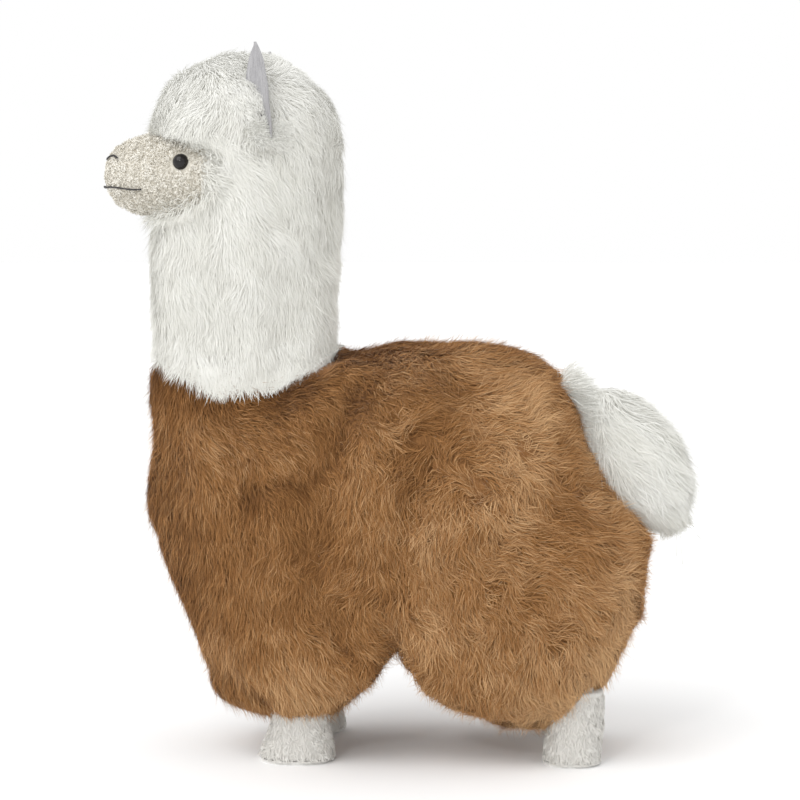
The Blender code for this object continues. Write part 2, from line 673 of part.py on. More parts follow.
clear_scene()
body_cover, body_filling = make_body()
hood_cover, face_cover, head_filling = make_head()
make_eyes(face_cover, head_filling)
make_stitches()
make_ears(hood_cover, head_filling)
make_legs(body_cover, body_filling)
make_tail()
centre_on_ground()
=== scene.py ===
"""Plush alpaca: combed wool, shorn pile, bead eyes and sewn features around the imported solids.

Metres, +Z up. The toy faces -X with its left side to -Y, as in the frame.
"""
import math

import bpy
import numpy as np
from mathutils import Matrix


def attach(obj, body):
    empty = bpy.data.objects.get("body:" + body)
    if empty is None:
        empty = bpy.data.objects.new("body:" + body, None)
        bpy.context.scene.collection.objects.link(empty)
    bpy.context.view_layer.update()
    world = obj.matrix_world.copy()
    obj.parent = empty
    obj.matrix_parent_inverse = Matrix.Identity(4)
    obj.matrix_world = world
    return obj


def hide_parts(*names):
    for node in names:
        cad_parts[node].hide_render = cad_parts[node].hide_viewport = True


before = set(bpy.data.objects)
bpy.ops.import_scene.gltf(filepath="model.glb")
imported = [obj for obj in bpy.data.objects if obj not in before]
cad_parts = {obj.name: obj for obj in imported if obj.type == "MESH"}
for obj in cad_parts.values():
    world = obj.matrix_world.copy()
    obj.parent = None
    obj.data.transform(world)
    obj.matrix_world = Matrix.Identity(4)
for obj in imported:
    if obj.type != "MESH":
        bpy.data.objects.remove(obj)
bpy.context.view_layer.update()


# Body cover: brown alpaca fleece on its hide, sewn round the stuffing. It runs over the trunk and up the
# root of the neck to the seam. The wool is combed down and back and lies in soft, swirling locks.
TRUNK_LENGTH = 0.189
TRUNK_HEIGHT = 0.140
TRUNK_WIDTH = 0.104
TRUNK_MIDDLE = np.array([0.0, 0.0, 0.0825])
TRUNK_SQUARENESS = 2.6
SKIRT_SQUARENESS = 4.6
RUMP_SPREAD = 0.08
PARTING_DEPTH = 0.009
PARTING_WIDTH = 0.011
NECK_MIDDLE_X = -0.05675
NECK_LENGTH = 0.0715
NECK_WIDTH = 0.062
NECK_SQUARENESS = 2.2
SEAM_HEIGHT = 0.147
NECK_ROOT_DEPTH = 0.058
NECK_MELT = 0.012
HEM_BEARINGS = (0.0, 14.0, 24.0, 34.0, 60.0, 100.0, 122.0, 143.0, 160.0, 180.0)
HEM_HEIGHTS = (0.1500, 0.1465, 0.1415, 0.1388, 0.1385, 0.1390, 0.1420, 0.1475, 0.1505, 0.1510)
LOCK_DEPTH = 0.0011
LOCK_WIDTH = 0.021
UNDERCOAT_DEPTH = 0.0026
HOOD_THICKNESS = 0.003
BODY_STRANDS = 270000
BODY_HAIR = 0.0095
BODY_LOCK = 0.0105
WOOL_TUFT = 0.0030
COMBED_TO_WOOLLY = (-0.055, 0.005)
FLANK_FACING = 0.62

# The trunk from its left side, in shares of its half length and half height
SIDE_OUTLINE = np.array((
    (1.00, 0.01), (0.86, 0.22), (0.75, 0.50), (0.69, 0.76), (0.60, 0.90), (0.46, 0.97),
    (0.23, 1.00), (0.00, 0.985), (-0.23, 0.945), (-0.52, 0.82), (-0.78, 0.64), (-0.94, 0.42),
    (-0.97, 0.18), (-0.91, -0.15), (-0.82, -0.41), (-0.745, -0.63), (-0.70, -0.85),
    (-0.58, -0.95), (-0.34, -0.985), (-0.18, -0.90), (-0.04, -0.71), (0.025, -0.61),
    (0.10, -0.76), (0.29, -0.935), (0.57, -1.00), (0.74, -0.95), (0.84, -0.79),
    (0.90, -0.58), (0.985, -0.41), (0.97, -0.26), (1.01, -0.09),
)) * (TRUNK_LENGTH / 2, TRUNK_HEIGHT / 2)

# Folds pressed into the fleece of both flanks: (x, z) along the fold, its depth and its width. The
# strands in the folds are also coloured darker, as painted shade.
FLANK_FOLDS = (
    (((-0.015, 0.137), (-0.018, 0.118), (-0.030, 0.108), (-0.052, 0.102)), 0.0026, 0.0035),
    (((0.000, 0.040), (0.001, 0.060), (0.004, 0.090), (0.013, 0.108)), 0.0022, 0.0060),
    (((-0.012, 0.040), (-0.020, 0.050), (-0.026, 0.066)), 0.0014, 0.0060),
    (((0.062, 0.040), (0.052, 0.062), (0.054, 0.086)), 0.0012, 0.0080),
    (((-0.066, 0.033), (-0.052, 0.030), (-0.044, 0.022)), 0.0026, 0.0040),
)


def hem_height(bearing):
    """Where the hood's lower edge hangs at a bearing round the neck, nought at its back: low along the sides,
    high over the chest, with three waves for its locks."""
    turn = np.abs(np.degrees(bearing))
    wave = 0.5 * np.sin(5 * bearing + 0.6) + 0.3 * np.sin(9 * bearing + 2.1) + 0.2 * np.sin(14 * bearing)
    return np.interp(turn, HEM_BEARINGS, HEM_HEIGHTS) + 0.0010 * wave


def wander(points, size, seed, outputs=3, waves=20):
    """Smooth drift of about -1 to 1: sines along random ways, summed with random shares for each output."""
    rng = np.random.default_rng(seed)
    ways = rng.normal(size=(3, waves))
    ways *= rng.uniform(0.6, 1.4, waves) * 2 * math.pi / (size * np.linalg.norm(ways, axis=0))
    phase = rng.uniform(0.0, 2 * math.pi, waves)
    shares = rng.normal(size=(waves, outputs)) / math.sqrt(waves / 2)
    return np.sin(points @ ways + phase) @ shares


def relief(points, hang):
    """Locks of the wool: seven sines of one width whose ways are drawn out along the hang."""
    hang = np.asarray(hang, dtype=float) / np.linalg.norm(hang)
    golden = math.pi * (3.0 - math.sqrt(5.0))
    lift = 1.0 - 2.0 * (np.arange(7) + 0.5) / 7
    flat = np.sqrt(1.0 - lift ** 2)
    turn = golden * np.arange(7)
    ways = np.stack((flat * np.cos(turn), flat * np.sin(turn), lift), axis=-1)
    ways -= 0.8 * np.outer(ways @ hang, hang)
    phase = 1.7 * np.arange(7)
    return np.sin(points @ ways.T * 2 * math.pi / LOCK_WIDTH + phase).sum(axis=-1) / math.sqrt(7)


def squared(first, second, power):
    """How far out a place lies on a squared-off ellipse: the p-th root of the sum of both shares to the p."""
    return (np.abs(first) ** power + np.abs(second) ** power) ** (1.0 / power)


def between(value, start, end):
    """How far a value has gone from a start to an end: nought before, one beyond, straight between."""
    return np.clip((value - start) / (end - start), 0.0, 1.0)


def outline_table():
    """Reach of the side outline at each bearing from the trunk's middle, rounded over nine degrees."""
    bearing = np.arctan2(SIDE_OUTLINE[:, 1], SIDE_OUTLINE[:, 0])
    order = np.argsort(bearing)
    reach = np.hypot(SIDE_OUTLINE[:, 0], SIDE_OUTLINE[:, 1])[order]
    angle = np.linspace(-math.pi, math.pi, 1441)
    total = np.zeros_like(angle)
    for step, weight in zip(np.radians((-4.5, -2.0, 0.0, 2.0, 4.5)), np.array((1, 3, 4, 3, 1)) / 12.0):
        total += weight * np.interp(angle + step, bearing[order], reach, period=2 * math.pi)
    return angle, total


OUTLINE_BEARING, OUTLINE_REACH = outline_table()


def trunk_form(points):
    """Height over the trunk, on the ray from its middle. The ray meets the trunk where side reach and half
    width, each a share to a power, sum to one. The power grows towards the skirts."""
    away = points - TRUNK_MIDDLE
    x, y, z = away[..., 0], away[..., 1], away[..., 2]
    low = np.clip(-z / (TRUNK_HEIGHT / 2) - 0.35, 0.0, 1.0)
    z = z - PARTING_DEPTH * low * np.exp(-(y / PARTING_WIDTH) ** 2)
    bearing = np.arctan2(z, x)
    reach = np.interp(bearing, OUTLINE_BEARING, OUTLINE_REACH)
    half_width = TRUNK_WIDTH / 2 * (1.0 + RUMP_SPREAD * np.clip(x / (TRUNK_LENGTH / 2), -1.2, 1.2))
    low = np.clip(-np.sin(bearing), 0.0, 1.0)
    power = TRUNK_SQUARENESS + (SKIRT_SQUARENESS - TRUNK_SQUARENESS) * low
    out = squared(np.hypot(x, z) / reach, y / half_width, power)
    return np.linalg.norm(away, axis=-1) * (1.0 - 1.0 / np.maximum(out, 0.15))


def neck_root_form(points):
    """Height over the root of the neck: outside its column, over the seam or under its foot."""
    x, y = points[..., 0] - NECK_MIDDLE_X, points[..., 1]
    run = np.clip((SEAM_HEIGHT - points[..., 2]) / (SEAM_HEIGHT - TRUNK_MIDDLE[2]), 0.0, 1.0)
    length = NECK_LENGTH / 2 * (1.0 - 0.07 * run ** 2)
    width = NECK_WIDTH / 2 * (1.0 + 0.10 * run ** 2)
    out = squared(x / length, y / width, NECK_SQUARENESS)
    side = np.hypot(x, y) * (1.0 - 1.0 / np.maximum(out, 0.15))
    over = points[..., 2] - SEAM_HEIGHT
    return np.maximum(np.maximum(side, over), -NECK_ROOT_DEPTH - over)


def gap_to(points, start, end):
    """Distance to the straight line from a start to an end."""
    run = np.clip((points - start) @ (end - start) / ((end - start) @ (end - start)), 0.0, 1.0)
    return np.linalg.norm(points - start - run[..., None] * (end - start), axis=-1)


def fold_depth(points):
    """Depth of the flank folds: each a bell curve of the distance to its line, seen from the side."""
    total = np.zeros(points.shape[:-1])
    for line, depth, width in FLANK_FOLDS:
        line = np.array(line)
        gaps = [gap_to(points[..., (0, 2)], start, end) for start, end in zip(line, line[1:])]
        total += depth * np.exp(-(np.min(gaps, axis=0) / width) ** 2)
    return total * between(np.abs(points[..., 1]), 0.016, 0.032)


def body_form(points):
    """Height over the fleece: trunk and neck root melted together, less locks and plus folds."""
    trunk, root = trunk_form(points), neck_root_form(points)
    blend = np.clip(0.5 + 0.5 * (root - trunk) / NECK_MELT, 0.0, 1.0)
    both = root + (trunk - root) * blend - NECK_MELT * 0.5 * blend * (1.0 - blend)
    return both - LOCK_DEPTH * relief(points, (0.25, 0.0, -1.0)) + fold_depth(points)


def lie_of(form, points, step=0.0004):
    """Height over a form and the way out of it, from the form's slope along x, y and z."""
    slope = np.stack([form(points + way) - form(points - way) for way in np.eye(3) * step], axis=-1)
    slope /= 2 * step
    steep = np.maximum(np.linalg.norm(slope, axis=-1), 0.2)
    return form(points) / steep, slope / steep[..., None]


def unit(ways):
    """Ways at the length of one."""
    return ways / np.maximum(np.linalg.norm(ways, axis=-1, keepdims=True), 1e-9)


def laid(ways, out, share=1.0):
    """Ways less a share of what points out of the surface, so that they lie along it."""
    return ways - out * (ways * out).sum(axis=-1, keepdims=True) * share


def body_surface(across, around):
    """A point of the fleece from two shares: from flank to flank, and round the side outline from the rump.
    It starts on the trunk's ellipsoid and slides along its ray until the body's height is nought."""
    angle = 2 * math.pi * around
    flank = math.pi * (across - 0.5)
    away = np.stack((
        np.cos(flank) * np.cos(angle) * TRUNK_LENGTH / 2,
        np.sin(flank) * TRUNK_WIDTH / 2,
        np.cos(flank) * np.sin(angle) * TRUNK_HEIGHT / 2,
    ), axis=-1)
    way = unit(away)
    far = np.linalg.norm(away, axis=-1)
    for _ in range(14):
        far = far - 0.9 * body_form(TRUNK_MIDDLE + way * far[..., None])
    return TRUNK_MIDDLE + way * far[..., None]


def grid(rows, columns, low=0.0, high=1.0):
    """The two shares of each point of a closed surface: rows from a low to a high share, each a full ring."""
    around = np.linspace(0.0, 1.0, columns, endpoint=False)
    return np.meshgrid(np.linspace(low, high, rows), around, indexing="ij")


def placed(name, data):
    """A new object of the scene that holds a mesh, a lamp or a lens."""
    piece = bpy.data.objects.new(name, data)
    bpy.context.scene.collection.objects.link(piece)
    return piece


def skin(name, points, depth=0.0, form=None):
    """A closed mesh of rows of points, each row a ring, whose first and last rows are drawn to a point. With
    a form, every point is first sunk under it by the depth."""
    if form is not None:
        lift, out = lie_of(form, points)
        points = points - out * (depth + lift)[..., None]
    rows, around = points.shape[:2]
    poles = np.stack((points[0].mean(axis=0), points[-1].mean(axis=0)))
    spots = np.concatenate((points.reshape(-1, 3), poles))
    index = np.arange(rows * around).reshape(rows, around)
    after = np.roll(index, -1, axis=1)
    quads = np.stack((index[:-1], after[:-1], after[1:], index[1:]), axis=-1).reshape(-1, 4)
    low = np.stack((after[0], index[0], np.full(around, rows * around)), axis=-1)
    high = np.stack((index[-1], after[-1], np.full(around, rows * around + 1)), axis=-1)
    mesh = bpy.data.meshes.new(name)
    mesh.from_pydata(spots.tolist(), [], quads.tolist() + low.tolist() + high.tolist())
    mesh.shade_smooth()
    return placed(name, mesh)


def strewn(surface, count, rng, rows=90, columns=160):
    """Places spread evenly over a surface of two shares: each patch gets as many as its area asks."""
    edge_u, edge_v = np.meshgrid(
        np.linspace(0.0, 1.0, rows + 1), np.linspace(0.0, 1.0, columns + 1), indexing="ij"
    )
    grid = surface(edge_u, edge_v)
    area = np.cross(grid[1:, 1:] - grid[:-1, :-1], grid[1:, :-1] - grid[:-1, 1:])
    area = np.linalg.norm(area, axis=-1).ravel()
    share = np.cumsum(area) / area.sum()
    patch = np.searchsorted(share, (np.arange(count) + rng.random(count)) / count)
    row, column = np.divmod(np.minimum(patch, rows * columns - 1), columns)
    return surface((row + rng.random(count)) / rows, (column + rng.random(count)) / columns)


def shuffled(cells, salt):
    """A number from 0 to 1 that belongs to each cell of a lattice, by multiplying and folding its address."""
    mixed = cells @ np.array((73856093, 19349663, 83492791)) + salt * 2654435761
    for factor in (1274126177, 2246822519):
        mixed = ((mixed ^ (mixed >> 15)) * factor) & 0x7FFFFFFF
    return ((mixed ^ (mixed >> 13)) & 0xFFFF) / 65536.0


def tufts(points, size, salt):
    """The middle of the tuft that each place belongs to, which is the nearest point of a shaken lattice, and
    four numbers from -0.5 to 0.5 that all strands of the tuft share."""
    cell = np.floor(points / size).astype(np.int64)
    nearest = np.full(len(points), np.inf)
    middle = np.zeros_like(points)
    home = np.zeros_like(cell)
    for shift in np.ndindex(3, 3, 3):
        other = cell + np.array(shift) - 1
        spot = np.stack([shuffled(other, salt + k) for k in range(3)], axis=-1)
        spot = (other + spot) * size
        gap = ((spot - points) ** 2).sum(axis=-1)
        closer = gap < nearest
        nearest = np.where(closer, gap, nearest)
        middle[closer] = spot[closer]
        home[closer] = other[closer]
    nature = np.stack([shuffled(home, salt + 10 + k) for k in range(4)], axis=-1) - 0.5
    return middle, nature


def combed(form, roots, length, heights, flow, lean):
    """Paths of strands and the way out along them. From the root, each goes one step of its length at a time
    along the flow, turned by its own lean, and every point is then set at its height over the form. Under
    the belly the strands keep some of their way down."""
    heights = np.broadcast_arrays(*heights)
    lift, out = lie_of(form, roots)
    here = roots + out * (heights[0] - lift)[:, None]
    path, outs = [here], [out]
    for height in heights[1:]:
        way = unit(laid(flow(here, out) + lean, out, np.where(out[:, 2:] < -0.3, 0.6, 1.0)))
        here = here + way * (length / (len(heights) - 1))[:, None]
        lift, out = lie_of(form, here)
        here = here + out * (height - lift)[:, None]
        path.append(here)
        outs.append(out)
    return np.stack(path, axis=1), np.stack(outs, axis=1)


def gathered(path, out, middle, pull):
    """Draws the strands of a tuft together: each point moves towards the tuft's middle, along the surface, by
    the pull times the square of its share of the strand."""
    towards = laid(middle - path[:, 0], out)
    share = np.linspace(0.0, 1.0, path.shape[1]) ** 2
    return path + towards[:, None, :] * share[None, :, None] * np.reshape(pull, (-1, 1, 1))


def strands(name, path, outs, width, roll, shade):
    """Flat strands, pointed at both ends. A path of k points has k - 2 pairs of edge points, half the width
    to either side of its inner ones, across the strand and along the surface, turned by the roll. The way
    out is given along the strand or once for all of it. The map holds the strand's shade sideways and its
    run from root to tip upwards."""
    count, knots = path.shape[:2]
    way = unit(path[:, 2:] - path[:, :-2])
    across = unit(np.cross(way, outs[:, 1:-1] if outs.ndim == 3 else outs[:, None]))
    over = np.cross(way, across)
    across = across * np.cos(roll)[:, None, None] + over * np.sin(roll)[:, None, None]
    across *= width[:, None, None] / 2
    pairs = np.stack((path[:, 1:-1] - across, path[:, 1:-1] + across), axis=2).reshape(count, -1, 3)
    spots = np.concatenate((path[:, :1], pairs, path[:, -1:]), axis=1)
    each = 2 * knots - 2
    pattern = [0, 2, 1]
    for k in range(1, each - 3, 2):
        pattern += [k, k + 1, k + 3, k + 2]
    pattern += [each - 3, each - 2, each - 1]
    firsts = [0] + list(range(3, len(pattern) - 3, 4)) + [len(pattern) - 3]
    corners = np.arange(count)[:, None] * each + np.array(pattern)
    starts = np.arange(count)[:, None] * len(pattern) + np.array(firsts)
    rise = np.repeat(np.linspace(0.03, 0.97, knots), 2)[1:-1]
    side = np.tile((0.0012, -0.0012), knots)[1:-1]
    side[[0, -1]] = 0.0
    chart = np.stack((shade[:, None] * 0.96 + 0.02 + side, np.broadcast_to(rise, (count, each))), axis=-1)
    mesh = bpy.data.meshes.new(name)
    mesh.vertices.add(count * each)
    mesh.vertices.foreach_set("co", spots.astype(np.float32).ravel())
    mesh.loops.add(corners.size)
    mesh.loops.foreach_set("vertex_index", corners.astype(np.int32).ravel())
    mesh.polygons.add(starts.size)
    mesh.polygons.foreach_set("loop_start", starts.astype(np.int32).ravel())
    chart = chart[:, pattern].astype(np.float32).ravel()
    mesh.uv_layers.new(name="OFBake").data.foreach_set("uv", chart)
    mesh.update(calc_edges=True)
    mesh.shade_smooth()
    return placed(name, mesh)


class Wire:
    """A shader value. Arithmetic with it adds the Math node that works the result out."""

    def __init__(self, paint, socket):
        self.paint = paint
        self.socket = socket

    def maths(self, operation, first, second):
        return self.paint.node("Math", {"operation": operation}, {0: first, 1: second})

    def __add__(self, other):
        return self.maths("ADD", self, other)

    def __sub__(self, other):
        return self.maths("SUBTRACT", self, other)

    def __rsub__(self, other):
        return self.maths("SUBTRACT", other, self)

    def __mul__(self, other):
        return self.maths("MULTIPLY", self, other)

    def __pow__(self, other):
        return self.maths("POWER", self, other)

    __radd__ = __add__
    __rmul__ = __mul__


class Paint:
    """A material whose constants sit on the Principled shader, and whose nodes are added one by one."""

    def __init__(self, name, **constants):
        self.material = bpy.data.materials.new(name)
        self.material.use_nodes = True
        self.tree = self.material.node_tree
        shader = self.tree.nodes["Principled BSDF"]
        self.sockets = {socket.name.lower().replace(" ", "_"): socket for socket in shader.inputs}
        for name, value in constants.items():
            self.sockets[name].default_value = value

    def node(self, kind, settings, inputs, output=0):
        made = self.tree.nodes.new("ShaderNode" + kind)
        for setting, value in settings.items():
            if setting == "stops":
                bands = made.color_ramp.elements
                while len(bands) < len(value):
                    bands.new(1.0)
                for stop, (place, colour) in zip(bands, value):
                    stop.position = place
                    stop.color = (*colour, 1.0)
            else:
                setattr(made, setting, value)
        for socket, value in inputs.items():
            if isinstance(value, Wire):
                self.tree.links.new(value.socket, made.inputs[socket])
            else:
                made.inputs[socket].default_value = value
        return Wire(self, made.outputs[output])

    def mixed(self, share, first, second):
        """One colour turning into another as the share goes from 0 to 1."""
        return self.node("Mix", {"data_type": "RGBA"}, {0: share, 6: first, 7: second}, output=2)

    def feed(self, **wires):
        for name, wire in wires.items():
            self.tree.links.new(wire.socket, self.sockets[name])
        return self.material


def strand_paint(name, colours, root, depth, middle=0.5, painted_glow=0.0):
    """Wool strands: the shade picks between three colours, and towards its root a strand turns into the
    root's darker colour, as painted shade deep in the fleece. The faint glow is painted light: an emission
    that lifts the shade among the fibres, standing in for the light that white fibres pass on to one another."""
    # The emission is painted light, though the wool is no lamp.
    paint = Paint(name, roughness=1.0, sheen_weight=0.1, sheen_roughness=0.4, specular_ior_level=0.2,
                  emission_color=(1.0, 0.99, 0.95, 1.0), emission_strength=painted_glow)
    chart = paint.node("UVMap", {"uv_map": "OFBake"}, {})
    shade = paint.node("SeparateXYZ", {}, {0: chart}, output=0)
    run = paint.node("SeparateXYZ", {}, {0: chart}, output=1)
    colour = paint.node("ValToRGB", {"stops": list(zip((0.0, middle, 1.0), colours))}, {0: shade})
    # Painted shade: each strand darkens towards its root, deep in the fleece.
    painted_root_shade = (1.0 - run) ** 1.6 * depth
    return paint.feed(base_color=paint.mixed(painted_root_shade, colour, (*root, 1.0)))


def felted_paint(name, light, dark, size, bump, roughness=0.9, stretch=(1.0, 1.0, 0.3)):
    """Matted wool or felt: two colours and a bump from noise that is drawn out along the hang."""
    paint = Paint(name, roughness=roughness, sheen_weight=0.1, specular_ior_level=0.2)
    place = paint.node("TexCoord", {}, {}, output=3)
    place = paint.node("Mapping", {}, {0: place, 3: stretch})
    grain = paint.node("TexNoise", {}, {0: place, "Scale": 1.0 / size, "Detail": 6.0, "Roughness": 0.65})
    patch = paint.node("TexNoise", {}, {0: place, "Scale": 0.12 / size, "Detail": 2.0})
    share = paint.node("MapRange", {}, {0: grain * 0.7 + patch * 0.3, 1: 0.35, 2: 0.65})
    bumped = paint.node("Bump", {}, {"Strength": 0.8, "Distance": bump, "Height": grain})
    return paint.feed(base_color=paint.mixed(share, (*dark, 1.0), (*light, 1.0)), normal=bumped)


def settle(piece, paint, slot, *nodes):
    """Gives a piece its material, lets it ride on the toy and stand for its CAD nodes. The slot is not used.
    """
    piece.data.materials.clear()
    piece.data.materials.append(paint)
    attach(piece, "root")
    if nodes:
        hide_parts(*nodes)
    return piece


def grown(parts, finish, rng, path, outs, shade, width, turn):
    """Strands as one piece, or as several of which each has some of them. Their widths are drawn up to a
    tenth of a millimetre over the least one, and then their rolls. The finish is settle's paint, slot and
    nodes."""
    width = width + 0.0001 * rng.random(len(path))
    roll = rng.normal(scale=turn, size=len(path))
    shade = np.clip(shade, 0.0, 1.0)
    if isinstance(parts, str):
        parts = {parts: slice(None)}
    for name, some in parts.items():
        piece = strands(name, path[some], outs[some], width[some], roll[some], shade[some])
        settle(piece, *finish)


def body_flow(points, out):
    """The comb's way on the fleece: down, a little back and outwards over the spine, and backwards below the
    neck. Two drifts turn it, one as wide as a hand's stroke and one as wide as a lock. They are weak on the
    combed chest and strong on the woolly hind part. The way is laid along the surface."""
    x, y, z = points.T
    high = np.clip(out[:, 2], 0.0, 1.0)
    way = np.zeros_like(points)
    way[:, 0] = 0.12 + 1.40 * high + 0.25 * between(x, 0.0, 0.09)
    way[:, 0] += 0.8 * np.exp(-((x + 0.048) / 0.022) ** 2) * between(z, 0.105, 0.135)
    way[:, 1] = 0.35 * np.tanh(y / 0.01) * high
    way[:, 2] = -1.0
    woolly = (0.22 + 0.78 * between(x, *COMBED_TO_WOOLLY))[:, None]
    way += woolly * (0.46 * wander(points, 0.050, 11) + 0.42 * wander(points, 0.014, 12))
    return unit(laid(way, out, np.where(out[:, 2:] < -0.3, 0.55, 1.0)))


def hem_above(points):
    """How far the hood's edge lies above a place, at the same bearing round the neck."""
    bearing = np.arctan2(points[:, 1] / NECK_WIDTH, (points[:, 0] - NECK_MIDDLE_X) / NECK_LENGTH)
    return hem_height(bearing) - points[:, 2]


body_points = body_surface(*grid(60, 120, 0.012, 0.988))
body_undercoat = skin("body_undercoat", body_points, UNDERCOAT_DEPTH, body_form)
brown_mat = felted_paint("brown_undercoat", (0.33, 0.158, 0.056), (0.20, 0.088, 0.029), 0.0009, 0.0008)
settle(body_undercoat, brown_mat, "wool_brown", "body_cover")

rng = np.random.default_rng(41)
roots = strewn(body_surface, BODY_STRANDS, rng)
under_hood = squared((roots[:, 0] - NECK_MIDDLE_X) / (NECK_LENGTH / 2 + HOOD_THICKNESS),
                     roots[:, 1] / (NECK_WIDTH / 2 + HOOD_THICKNESS), NECK_SQUARENESS) < 1.0
below_hem = hem_above(roots)
kept = ~under_hood | (below_hem > -0.0035)
roots, below_hem, under_hood = roots[kept], below_hem[kept], under_hood[kept]
count = len(roots)
lock_nature = tufts(roots, BODY_LOCK, 100)[1]
tuft_middle, tuft_nature = tufts(roots, WOOL_TUFT, 200)
length = BODY_HAIR + 0.003 * lock_nature[:, 0] + 0.005 * (rng.random(count) - 0.5)
woolly = 0.35 + 0.65 * between(roots[:, 0], *COMBED_TO_WOOLLY)
loft = 0.0010 * woolly * (lock_nature[:, 1] + tuft_nature[:, 1])
length += 0.003 * between(roots[:, 2], 0.045, 0.025)
flying = np.where(rng.random(count) < 0.17, rng.random(count), 0.0)
tip = -0.0002 + 1.3 * loft + 0.0012 * (rng.random(count) - 0.5) + 0.0042 * flying
lean = tuft_nature[:, :3] * 0.8 * woolly[:, None]
lean += rng.normal(size=(count, 3)) * (0.12 + 0.16 * woolly)[:, None]
path, outs = combed(body_form, roots, length, (-0.0036, -0.0012 + loft, tip), body_flow, lean)
path = gathered(path, outs[:, 0], tuft_middle, pull=0.26 * woolly)
path[:, 1:] += rng.normal(scale=0.00045, size=(count, 2, 3))
# Painted shade: darker in the folds, on top and in a band under the hood's edge. Painted light on raised
# tufts and flyaway strands, painted shade on sunken tufts. Lighter low down and towards the rear.
shade = 0.47 + 0.14 * lock_nature[:, 2] + 0.34 * tuft_nature[:, 2] + 0.52 * (rng.random(count) - 0.5)
shade += 0.10 * wander(roots, 0.045, 13, outputs=1)[:, 0] + 0.15 * flying
shade += 1.5 * roots[:, 0] + 60.0 * loft - 90.0 * fold_depth(roots)
shade += 0.10 * between(roots[:, 2], 0.060, 0.030) - 0.12 * between(roots[:, 2], 0.125, 0.145)
shade += 0.22 * between(roots[:, 2], 0.075, 0.035) * between(roots[:, 0], 0.010, 0.050)
# Painted shadow: a dark band on the brown fleece just under the hood's edge.
shade -= 0.34 * under_hood * np.exp(-(below_hem / 0.013) ** 2)
brown_colours = ((0.165, 0.070, 0.021), (0.365, 0.178, 0.064), (0.660, 0.420, 0.215))
brown_wool = strand_paint("brown_wool", brown_colours, (0.175, 0.076, 0.024), 0.6, middle=0.45)
facing = outs[:, 1, 1]
on_back = np.abs(facing) <= FLANK_FACING
body_parts = {
    "body_fleece_left": facing < -FLANK_FACING,
    "body_fleece_right": facing > FLANK_FACING,
    "body_fleece_fore": on_back & (roots[:, 0] < 0.0),
    "body_fleece_rear": on_back & (roots[:, 0] >= 0.0),
}
width = 0.00024 - 0.00008 * (flying > 0.0)
grown(body_parts, (brown_wool, "wool_brown", "body_cover"), rng, path, outs, shade, width, turn=0.35)


# Neck and head cover: a hood of long white fleece over the stuffed neck, open at the front for the face
# and full on the crown. Its lower edge hangs over the seam in locks.
HEAD_WIDTH = 0.063
HEAD_TOP = 0.261
CROWN_HEIGHT = 0.040
SHOULDER_HEIGHT = HEAD_TOP - CROWN_HEIGHT
NOSE_X = -0.109
FACE_LENGTH = 0.045
FACE_HEIGHT = 0.035
FACE_MIDDLE_HEIGHT = 0.215
WINDOW_SINK = 0.013
WINDOW_BARE = 0.92
THROAT_BAND = (0.86, 1.03)
THROAT_TOP = 0.208
HOOD_STRANDS = 112000
THROAT_STRANDS = 60000
HOOD_HAIR = 0.0105
HOOD_LOCK = 0.0095
CROWN_FROM = 0.205
EAR_FOOT = np.array([-0.0475, 0.0300, 0.228])
EAR_TOP = np.array([-0.0475, 0.0360, 0.262])


def hood_half_width(z):
    """Half the width at a height: the neck's, growing to the head's by the square of the share of the way."""
    share = between(z, SEAM_HEIGHT, SHOULDER_HEIGHT)
    return (NECK_WIDTH + (HEAD_WIDTH - NECK_WIDTH) * share ** 2) / 2


def hood_form(points):
    """Height over the hood: outside its squared-off column, which closes over the shoulder as a dome."""
    x, y = points[..., 0] - NECK_MIDDLE_X, points[..., 1]
    rise = np.maximum(points[..., 2] - SHOULDER_HEIGHT, 0.0)
    out = squared(x / (NECK_LENGTH / 2), y / hood_half_width(points[..., 2]), NECK_SQUARENESS)
    out = squared(out, rise / CROWN_HEIGHT, NECK_SQUARENESS)
    far = np.sqrt(x ** 2 + y ** 2 + rise ** 2)
    return far * (1.0 - 1.0 / np.maximum(out, 0.15)) - LOCK_DEPTH * relief(points, (0.0, 0.0, -1.0))


def squared_turn(around, power):
    """Cosine and sine of a share of a turn, each to two over a power, which trace a squared-off ring."""
    cosine, sine = np.cos(2 * math.pi * around), np.sin(2 * math.pi * around)
    return np.sign(cosine) * np.abs(cosine) ** (2 / power), np.sign(sine) * np.abs(sine) ** (2 / power)


def hood_surface(upward, around):
    """A point of the hood from two shares: from the hem to the top of the crown, and round it."""
    cosine, sine = squared_turn(around, NECK_SQUARENESS)
    hem = hem_height(np.arctan2(sine, cosine))
    turn = between(upward, 0.6, 1.0) * math.pi / 2
    close = np.maximum(np.cos(turn), 0.0) ** (2 / NECK_SQUARENESS)
    z = hem + (SHOULDER_HEIGHT - hem) * between(upward, 0.0, 0.6)
    z = z + CROWN_HEIGHT * np.sin(turn) ** (2 / NECK_SQUARENESS)
    x = NECK_MIDDLE_X + NECK_LENGTH / 2 * cosine * close
    return np.stack((x, hood_half_width(z) * sine * close, z), axis=-1)


def window_reach(points):
    """How far out a place lies of the face's opening, seen from the side: below 1 is inside it."""
    return squared((points[..., 0] - NOSE_X) / FACE_LENGTH,
                   (points[..., 2] - FACE_MIDDLE_HEIGHT) / (FACE_HEIGHT / 2), 2.6)


def window_sink(points):
    """How much deeper than elsewhere the hide lies inside the face's opening."""
    return WINDOW_SINK * between(window_reach(points), 0.99, 0.84)


def crown_share(points):
    """How much a place belongs to the crown, by its height."""
    return between(points[:, 2], 0.222, 0.252)


